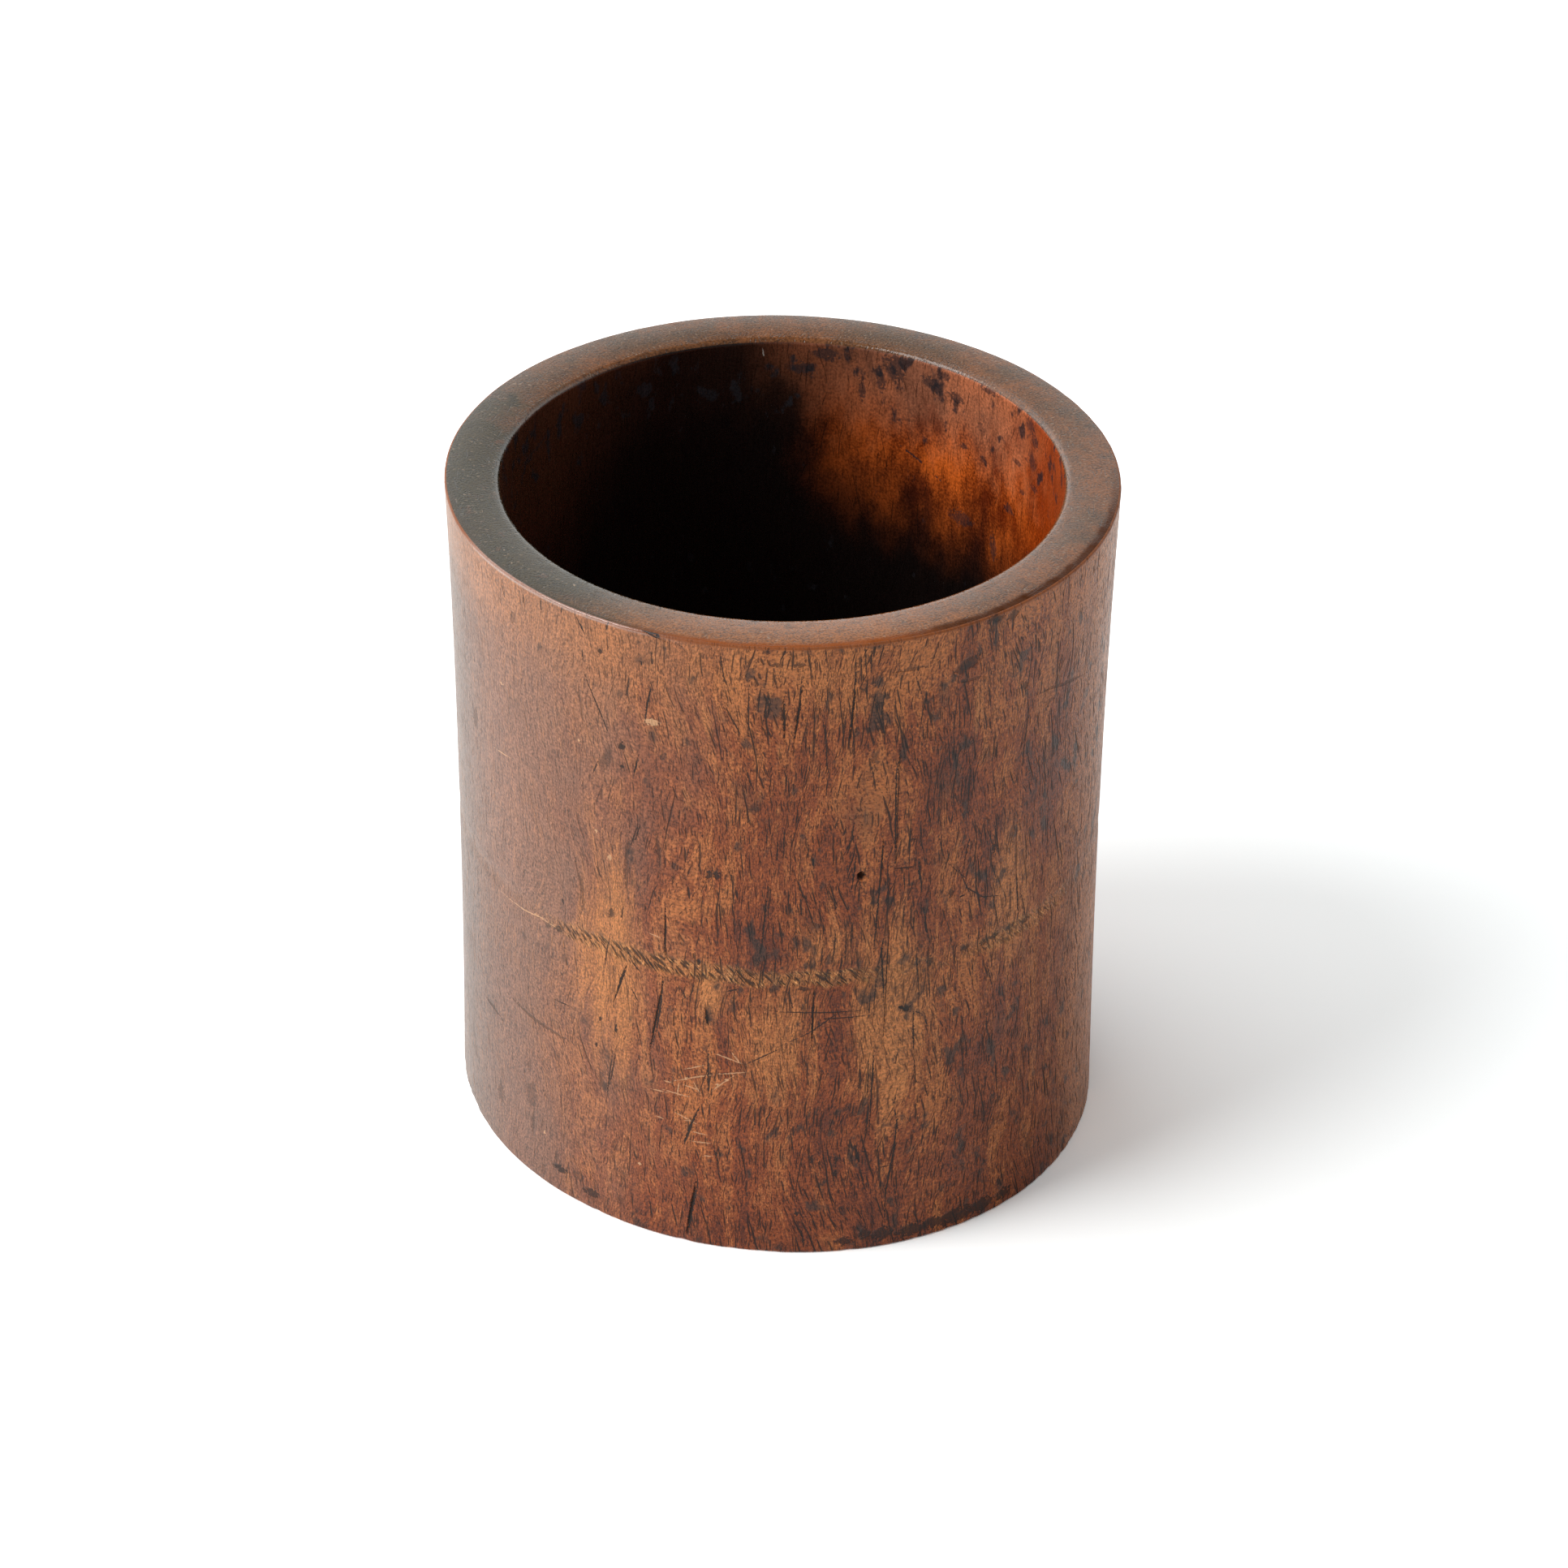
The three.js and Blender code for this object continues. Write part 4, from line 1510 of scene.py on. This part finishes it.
WALL_SPANS = {
    "crisp": (-35, 25),
    "less_crisp": (80, 125),
    "brighter_low_left": (30, -30),
    "sunny": (52, 8),
    "high": (HEIGHT - 60, HEIGHT - 12),
    "below_ring": (112, 84),
    "foot": (38, 4),
    "painted_sheen": (-22, -95),
    "edge": (-84, -122),
    "edge_ends": (-175, -135),
    "shaded": (20, 95),
    "rubbed_and_sheen": (HEIGHT - 28, HEIGHT - 6),
    "painted_warm_reflection": (84, 112),
    "painted_warm_reflection_ends": (150, 118),
    "low": (120, 70),
    "left": (-45, -75),
    "worn_arris": (HEIGHT - 1.1, HEIGHT - 0.5),
    "arris": (HEIGHT - 1.4, HEIGHT - 0.8),
    "lamp_side": (-22, -50),
    "lamp_side_ends": (-108, -86),
    "far_left": (-80, -125),
}
WAX_GLOSS = 0.29
SHADED_GLOSS_LOSS = 0.18
ARRIS_GLOSS = 0.7
FAR_LEFT_GLOSS_LOSS = 0.09
ARRIS_COAT_ROUGHNESS = 0.12
RING_STRIP = 3.4
RING_WAVER = 5
RING_SHEAR = 0.85


def ring_patterns(wires, around, up, place):
    """The growth ring's band, its slanting pale strokes and its dark commas."""
    presence = wires.kept("ring")
    rise = wires.maths("SUBTRACT", up, RING_HEIGHT)
    waver = wires.maths("SUBTRACT", wires.noise(place, 7, 2), 0.5)
    off_middle = wires.maths("ABSOLUTE", wires.maths("MULTIPLY_ADD", waver, RING_WAVER, rise))
    band = wires.times(wires.step(off_middle, RING_STRIP, RING_STRIP * 0.35), presence)
    sheared = wires.maths("MULTIPLY_ADD", rise, RING_SHEAR, around)
    slanting = wires.vector(sheared, up, 0)
    strokes = wires.times(grain_lines(wires, slanting, *LINE_SETS["ring strokes"]), band)
    commas = wires.maths("MAXIMUM", grain_lines(wires, slanting, *LINE_SETS["ring commas"]),
                         grain_lines(wires, slanting, *LINE_SETS["small ring commas"]))
    return band, strokes, wires.times(commas, band)


def wall_tones(wires, around, side, up, layers_of_figure):
    """Tones from side to side with painted sheen, shade and reflection, and three masks: tone, painted sheen
    and painted shade.
    """
    clouds, patches, _, streaks, fibres, grit = layers_of_figure
    span = spans(wires, WALL_SPANS)
    brighter_low_left = span(total(wires, side, (up, 0.3)), "brighter_low_left")
    tone = total(wires, 0.5, (clouds, 0.28), (patches, 0.26), (streaks, 0.24), (fibres, 0.16), (grit, 0.12))
    sunny = span(side, "sunny")
    # Lighter towards the top; the extra on the lit side is painted light.
    high = wires.times(span(up, "high"), total(wires, 0.2, (sunny, 0.16)))
    tone = total(wires, tone, (high, 1), (brighter_low_left, 0.1), (span(up, "below_ring"), 0.07))
    tone = total(wires, tone, (span(up, "foot"), -0.2))
    colour = wires.mix(wires.step(tone, 0, 0.5), WALL_COLOURS["dark"], WALL_COLOURS["middle"])
    colour = wires.mix(wires.step(tone, 0.45, 1.05), colour, WALL_COLOURS["light"])

    lay = coats(wires, WALL_COLOURS, WALL_COATS)
    # Painted sheen over the left side, towards the lamps.
    painted_sheen = span(total(wires, side, (clouds, 12), (up, -0.12)), "painted_sheen")
    colour = lay(colour, painted_sheen, "painted_sheen")
    # A greyer painted sheen near the left limb.
    edge = wires.times(span(around, "edge"), span(around, "edge_ends"))
    colour = wires.mix(edge, colour, WALL_COLOURS["edge"])
    shaded = span(total(wires, side, (clouds, 10), (up, -0.2)), "shaded")
    colour = lay(colour, shaded, "shaded")
    # Wear and painted sheen: a golden band under the rim, strongest on the lit side.
    rubbed_and_sheen = wires.times(span(up, "rubbed_and_sheen"), total(wires, 0.06, (sunny, 0.29)))
    colour = wires.mix(rubbed_and_sheen, colour, WALL_COLOURS["golden"])
    # A golden painted reflection along the right limb.
    painted_warm_reflection = wires.times(span(around, "painted_warm_reflection"), span(around, "painted_warm_reflection_ends"))
    return lay(colour, painted_warm_reflection, "painted_warm_reflection"), tone, painted_sheen, shaded


def wall_grain(wires, flat, crisp, painted_sheen, pale):
    """All layers of dark grain lines, fewer under the painted sheen and where the wood is pale."""
    lines = []
    for number, (wide, long, width, share, more, strength) in enumerate(GRAIN_LAYERS.values()):
        share = wires.maths("MULTIPLY_ADD", crisp, more, share)
        layer = grain_lines(wires, flat, wide, long, width, share, 3.7 * number + 1.3)
        lines.append(wires.times(layer, strength))
    return wires.times(wires.most(lines), total(wires, 1, (painted_sheen, -0.6), (pale, -0.3)))


def wall_finish():
    """The waxed outer wall."""
    wires, surface, made = start_finish("waxed_wall")
    lay = coats(wires, WALL_COLOURS, WALL_COATS)
    span = spans(wires, WALL_SPANS)
    place, around, up, leaned = places_round(wires, RIM_RADIUS)
    side = folded(wires, around, RIM_RADIUS)
    layers_of_figure = figure_layers(wires, rolled_place(wires, leaned, up, RIM_RADIUS), FIGURE_SIZES)
    clouds, patches, clots, streaks, fibres, grit = layers_of_figure
    crisp = span(side, "crisp")
    crisp = wires.times(crisp, total(wires, 1, (span(side, "less_crisp"), -0.5)))
    # The last two masks are the painted sheen on the left and the painted shade on the right.
    colour, tone, painted_sheen, shaded = wall_tones(wires, around, side, up, layers_of_figure)

    dark = total(wires, wires.kept("dark"), (patches, 0.22), (fibres, 0.12), (grit, 0.08))
    dark = wires.step(dark, 0.12, 0.95)
    pale = wires.step(total(wires, wires.kept("pale"), (streaks, 0.2), (fibres, 0.12)), 0.1, 1)
    colour = lay(colour, pale, "pale")
    colour = lay(colour, dark, "dark")
    clots = total(wires, clots, (clouds, -0.25), (crisp, 0.12), (fibres, 0.15), (painted_sheen, -0.3))
    colour = lay(colour, wires.step(clots, 0.5, 1.05), "clots")
    band, strokes, commas = ring_patterns(wires, around, up, place)
    colour = lay(colour, band, "ring")
    colour = lay(colour, strokes, "strokes")
    low_left = wires.times(span(up, "low"), span(side, "left"))
    colour = wires.scaled(colour, total(wires, 1, (fibres, 0.2), (grit, 0.42), (low_left, -0.14)))

    crisp = wires.times(crisp, wires.step(clouds, 1.2, -0.4))
    flat = wires.vector(leaned, up, 0)
    lines = wires.maths("MAXIMUM", wall_grain(wires, flat, crisp, painted_sheen, pale), commas)
    glints = wires.times(grain_lines(wires, flat, *LINE_SETS["wall glints"]), wires.step(tone, 0.3, 0.9))
    colour = lay(colour, glints, "glints")
    colour = lay(colour, lines, "lines")
    worn_arris = span(total(wires, up, (patches, 0.3)), "worn_arris")
    colour = lay(colour, worn_arris, "worn_arris")
    marks = wires.use(marks_group, {"Place": place})
    colour = wires.mix(marks["Pale"], colour, WALL_COLOURS["pale_mark"])
    colour = lay(colour, marks["Dark"], "marks")
    wires.join(colour, surface.inputs["Base Color"])

    dents = wires.maths("MAXIMUM", lines, marks["Dark"])
    lamp_side = wires.times(span(around, "lamp_side"), span(around, "lamp_side_ends"))
    arris = wires.times(span(up, "arris"), lamp_side)
    wires.join(total(wires, 0.34, (dents, 0.25), (grit, 0.03), (arris, -0.2)), surface.inputs["Roughness"])
    gloss = total(wires, WAX_GLOSS, (shaded, -SHADED_GLOSS_LOSS), (arris, ARRIS_GLOSS),
                  (span(side, "far_left"), -FAR_LEFT_GLOSS_LOSS))
    wires.join(gloss, surface.inputs["Specular IOR Level"])
    wires.join(arris, surface.inputs["Coat Weight"])
    surface.inputs["Coat Roughness"].default_value = ARRIS_COAT_ROUGHNESS
    relief(wires, surface, total(wires, 0, (dents, -0.24), (fibres, 0.012), (grit, 0.01), (strokes, 0.05)))
    return made


finishes = {"outside": wall_finish()}
print("nodes of the wall:", len(finishes["outside"].node_tree.nodes))

# %% [markdown]
# ## The mouth
#
# The mouth is cut across the trunk, and centuries of hands and brushes have made it darker and duller than
# the wall. It is olive grey at the left, with a golden brown painted sheen in front, and warmer and redder at
# the right and along the cavity. A narrow margin along its outer edge has a tone of its own on each side.

# %% Finish of the mouth
MOUTH_COLOURS = {
    "olive": (0.052, 0.044, 0.022, 1),
    "umber": (0.13, 0.064, 0.028, 1),
    "red": (0.24, 0.088, 0.03, 1),
    # A golden brown painted sheen on the front of the mouth.
    "front": (0.37, 0.13, 0.038, 1),
    "left_margin": (0.07, 0.05, 0.028, 1),
    "front_margin": (0.38, 0.1, 0.024, 1),
    "right_margin": (0.085, 0.024, 0.007, 1),
    "speck": (0.45, 0.32, 0.22, 1),
    "pore": (0.03, 0.022, 0.018, 1),
}
OLIVE_SIDE = (-0.883, -0.469, 0)
MOUTH_COATS = {
    "inner": ("red", 0.5), "olive": ("olive", 0.92), "front": ("front", 0.85), "mottle": ("pore", 0.5),
    "rust": ("red", 0.35), "pores": ("pore", 0.55), "specks": ("speck", 0.5),
}
MOUTH_SPANS = {
    "reddened": (-1, 1.1),
    "inner": (82, 76),
    "olive": (28, 66),
    "front": (-42, -80),
    "mottle": (0.3, 1.1),
    "rust": (-0.5, -1.2),
    "margin": (86.8, 88.8),
    "front_margin": (46, 78),
    "right_margin": (20, 48),
    "front_half": (-10, 30),
    "lip": (78, 76.5),
    "dull_margin": (92, 50),
}
MARGIN_STRENGTH = 0.9
MOUTH_GLOSS = 0.46
MARGIN_GLOSS_LOSS = 0.38
MARGIN_GLOSS_LOSS_LEFT = 0.08
LIP_POLISH = 0.16
ROLL = 0.0075


def mouth_margin(wires, out, right, back, patches):
    """How far the margin shows, and its colour from the left, past the front, to the right."""
    span = spans(wires, MOUTH_SPANS)
    margin = span(total(wires, out, (patches, 0.5)), "margin")
    forwards = wires.times(back, -1)
    colour = wires.mix(span(total(wires, forwards, (right, 0.6)), "front_margin"),
                       MOUTH_COLOURS["left_margin"], MOUTH_COLOURS["front_margin"])
    to_right = span(total(wires, right, (patches, 5)), "right_margin")
    colour = wires.mix(to_right, colour, MOUTH_COLOURS["right_margin"])
    return wires.times(margin, span(forwards, "front_half")), colour


def mouth_finish():
    """The flat mouth."""
    wires, surface, made = start_finish("worn_mouth")
    lay = coats(wires, MOUTH_COLOURS, MOUTH_COATS)
    span = spans(wires, MOUTH_SPANS)
    place, _, up, leaned = places_round(wires, SURFACE_RADIUS["mouth"])
    right, back, _ = wires.parts(place)
    out = distance_out(wires, right, back)
    clouds, patches, clots, fibres, grit = figure_layers(
        wires, wires.vector(right, back, up), ("Clouds", "Patches", "Clots", "Fibres", "Grit"))

    reddened = span(total(wires, clouds, (patches, 0.7)), "reddened")
    colour = wires.mix(reddened, MOUTH_COLOURS["umber"], MOUTH_COLOURS["red"])
    colour = lay(colour, span(total(wires, out, (patches, 2)), "inner"), "inner")
    side = wires.vector_maths("DOT_PRODUCT", place, OLIVE_SIDE)
    olive = span(total(wires, side, (clouds, 14), (patches, 14), (clots, 10)), "olive")
    colour = lay(colour, olive, "olive")
    sideways = wires.maths("ABSOLUTE", right)
    # A golden brown painted sheen across the front of the mouth.
    front = span(total(wires, back, (clouds, 7), (sideways, 0.25)), "front")
    colour = lay(colour, front, "front")
    mottle = total(wires, clots, (patches, 0.5))
    colour = lay(colour, span(mottle, "mottle"), "mottle")
    colour = lay(colour, span(mottle, "rust"), "rust")
    colour = wires.scaled(colour, total(wires, 1, (patches, 0.2), (clots, 0.2), (grit, 0.5), (fibres, 0.14)))

    flat = wires.vector(leaned, out, 0)
    pores = wires.maths("MAXIMUM", grain_lines(wires, flat, *LINE_SETS["mouth pores"]),
                        grain_lines(wires, wires.vector(out, leaned, 0), *LINE_SETS["mouth rays"]))
    colour = lay(colour, pores, "pores")
    colour = lay(colour, grain_lines(wires, flat, *LINE_SETS["mouth specks"]), "specks")
    margin, margin_colour = mouth_margin(wires, out, right, back, patches)
    colour = wires.mix(wires.times(margin, MARGIN_STRENGTH), colour, margin_colour)
    marks = wires.use(marks_group, {"Place": place})
    colour = wires.mix(marks["Pale"], colour, MOUTH_COLOURS["speck"])
    colour = wires.mix(marks["Dark"], colour, MOUTH_COLOURS["pore"])
    wires.join(colour, surface.inputs["Base Color"])

    lip = span(out, "lip")
    roughness = total(wires, 0.28, (grit, 0.06), (patches, 0.05), (lip, -LIP_POLISH))
    wires.join(roughness, surface.inputs["Roughness"])
    dull = wires.times(margin, span(side, "dull_margin"))
    gloss = total(wires, MOUTH_GLOSS, (lip, 0.15), (margin, -MARGIN_GLOSS_LOSS_LEFT),
                  (dull, MARGIN_GLOSS_LOSS_LEFT - MARGIN_GLOSS_LOSS), (mottle, -0.06))
    wires.join(gloss, surface.inputs["Specular IOR Level"])
    from_crest = wires.maths("SUBTRACT", out, CREST_RADIUS)
    roll = wires.times(from_crest, from_crest)
    height = total(wires, 0, (marks["Dark"], -0.2), (pores, -0.05), (grit, 0.02), (roll, -ROLL))
    relief(wires, surface, height)
    return made


finishes["mouth"] = mouth_finish()
print("nodes of the mouth:", len(finishes["mouth"].node_tree.nodes))

# %% [markdown]
# ## The cavity
#
# Most of the cavity is painted nearly black, as painted shade. The side that faces the light is painted
# orange red, as a painted pool of light, with upright tool streaks, dark runs and blue-black blotches under
# the lip.

# %% Finish of the cavity
CAVITY_COLOURS = {
    # Black and brown: painted shade over most of the cavity.
    "black": (0.012, 0.007, 0.006, 1),
    "brown": (0.09, 0.032, 0.016, 1),
    # Red, orange, the right tone and the lip tone: the painted pool of light on the side that faces the
    # lamps.
    "red": (0.24, 0.034, 0.006, 1),
    "orange": (0.92, 0.18, 0.024, 1),
    "right": (0.41, 0.047, 0.002, 1),
    "lip": (0.6, 0.25, 0.14, 1),
    "blotch": (0.03, 0.03, 0.036, 1),
    "speck": (0.7, 0.66, 0.6, 1),
}
CAVITY_COATS = {"clots": ("blotch", 0.85), "lines": ("black", 0.5), "marks": ("blotch", 0.85)}
CAVITY_SPANS = {
    "glow_right": (44, 104),
    "glow_up": (125, 168),
    "near_lip": (HEIGHT - 34, HEIGHT - 10),
    "leftwards": (-118, -160),
    "deeper": (20, 50),
    "clots": (0.78, 1.25),
    "above_floor": (FLOOR_THICKNESS + 1, FLOOR_THICKNESS + 10),
}
GLOW_LEAN = 0.3


def cavity_finish():
    """The inside: painted shade, a painted pool of light, and real blotches and streaks."""
    wires, surface, made = start_finish("cavity_stains_and_painted_light")
    lay = coats(wires, CAVITY_COLOURS, CAVITY_COATS)
    span = spans(wires, CAVITY_SPANS)
    place, _, up, leaned = places_round(wires, MOUTH_RADIUS)
    right, back, _ = wires.parts(place)
    clouds, patches, clots, streaks, fibres, grit = figure_layers(
        wires, place, FIGURE_SIZES, STRONGER_PATCHES)
    rough_edge = total(wires, 0, (clouds, 5), (patches, 1.2), (streaks, 0.4))
    # Where the painted pool of light lies: to the right and high up.
    rightwards = span(total(wires, right, (up, GLOW_LEAN), (rough_edge, 1)), "glow_right")
    glow = wires.times(rightwards, span(total(wires, up, (rough_edge, 1)), "glow_up"))
    near_lip = span(total(wires, up, (patches, 5)), "near_lip")
    leftwards = span(total(wires, right, (up, -0.5), (rough_edge, -1)), "leftwards")
    brown = wires.maths("MAXIMUM", wires.times(near_lip, 0.15), leftwards)
    # Painted shade, nearly black, browner to the left and near the lip.
    colour = wires.mix(brown, CAVITY_COLOURS["black"], CAVITY_COLOURS["brown"])

    tone = total(wires, 0.52, (clouds, 0.42), (patches, 0.24), (streaks, 0.14), (grit, 0.16))
    lit = wires.mix(wires.step(tone, 0, 1), CAVITY_COLOURS["red"], CAVITY_COLOURS["orange"])
    deeper = span(total(wires, back, (patches, 4)), "deeper")
    lit = wires.mix(total(wires, 0.85, (deeper, -0.85)), lit, CAVITY_COLOURS["right"])
    paler = wires.times(near_lip, total(wires, 0.1, (deeper, 0.55)))
    lit = wires.mix(paler, lit, CAVITY_COLOURS["lip"])
    # The painted pool of light laid over the painted shade.
    colour = wires.mix(glow, colour, lit)
    clots = total(wires, clots, (near_lip, 0.55), (clouds, -0.2))
    colour = lay(colour, span(clots, "clots"), "clots")
    colour = wires.scaled(colour, total(wires, 1, (fibres, 0.2), (grit, 0.28)))

    flat = wires.vector(leaned, up, 0)
    lines = wires.maths("MAXIMUM", grain_lines(wires, flat, *LINE_SETS["cavity lines"]),
                        grain_lines(wires, flat, *LINE_SETS["long cavity lines"]))
    lines = wires.times(lines, span(up, "above_floor"))
    colour = lay(colour, lines, "lines")
    marks = wires.use(marks_group, {"Place": place})
    colour = wires.mix(marks["Pale"], colour, CAVITY_COLOURS["speck"])
    colour = lay(colour, marks["Dark"], "marks")
    wires.join(colour, surface.inputs["Base Color"])
    wires.join(total(wires, 0.27, (grit, 0.04), (streaks, 0.04)), surface.inputs["Roughness"])
    wires.join(total(wires, 0.3, (deeper, 0.2)), surface.inputs["Specular IOR Level"])
    relief(wires, surface, total(wires, 0, (lines, -0.08), (streaks, 0.06), (fibres, 0.012)))
    return made


finishes["inside"] = cavity_finish()
print("nodes of the cavity:", len(finishes["inside"].node_tree.nodes))

# %% [markdown]
# ## The foot and the plug
#
# Neither can be seen in the photograph. The foot is bare wood, dull and dusty from the desk, with the rings
# that a turning tool leaves. The plug is end grain, a little darker, and shows its own growth rings.

# %% Finish of the foot and the plug
END_COLOURS = {
    "dark": (0.07, 0.03, 0.018, 1),
    "light": (0.2, 0.085, 0.045, 1),
    "pore": (0.02, 0.014, 0.012, 1),
}
END_COATS = {"pores": ("pore", 0.8)}
TURNING_PITCH = 1.3
FOOT_LOOK = ("dull_foot", 0.55, 4.5)
PLUG_LOOK = ("plug_end_grain", 0.4, 2.6)


def end_grain_finish(name, shade, ring_pitch):
    """Bare end grain with rings about the axis."""
    wires, surface, made = start_finish(name)
    lay = coats(wires, END_COLOURS, END_COATS)
    place, *_ = places_round(wires, SURFACE_RADIUS["mouth"])
    right, back, _ = wires.parts(place)
    out = distance_out(wires, right, back)
    patches, grit = figure_layers(wires, place, ("Patches", "Grit"), STRONGER_PATCHES)
    wavy = wires.maths("MULTIPLY_ADD", patches, 0.6, out)
    growth = wires.maths("SINE", wires.times(wavy, 2 * math.pi / ring_pitch))
    tone = total(wires, shade, (growth, 0.18), (patches, 0.2), (grit, 0.12))
    colour = wires.mix(wires.times(tone, 1, clamp=True), END_COLOURS["dark"], END_COLOURS["light"])
    pores = grain_lines(wires, wires.vector(right, back, 0), *LINE_SETS["end pores"])
    colour = lay(colour, pores, "pores")
    wires.join(colour, surface.inputs["Base Color"])
    wires.join(total(wires, 0.55, (grit, 0.05)), surface.inputs["Roughness"])
    turning = wires.maths("SINE", wires.times(out, 2 * math.pi / TURNING_PITCH))
    relief(wires, surface, total(wires, 0, (turning, 0.02), (pores, -0.1), (grit, 0.02)))
    return made


finishes["under"] = end_grain_finish(*FOOT_LOOK)
for finish_name in FINISHES:
    pot.data.materials.append(finishes[finish_name])
plug.data.materials.append(end_grain_finish(*PLUG_LOOK))
print("finishes:", [made.name for made in bpy.data.materials])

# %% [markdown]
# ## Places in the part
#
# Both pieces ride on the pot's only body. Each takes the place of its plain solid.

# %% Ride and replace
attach(pot, "root")
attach(plug, "root")
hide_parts("pot_body")
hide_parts("base_plug")
print("pieces on the pot's body:", pot.name, plug.name)

# %% The json module
import json
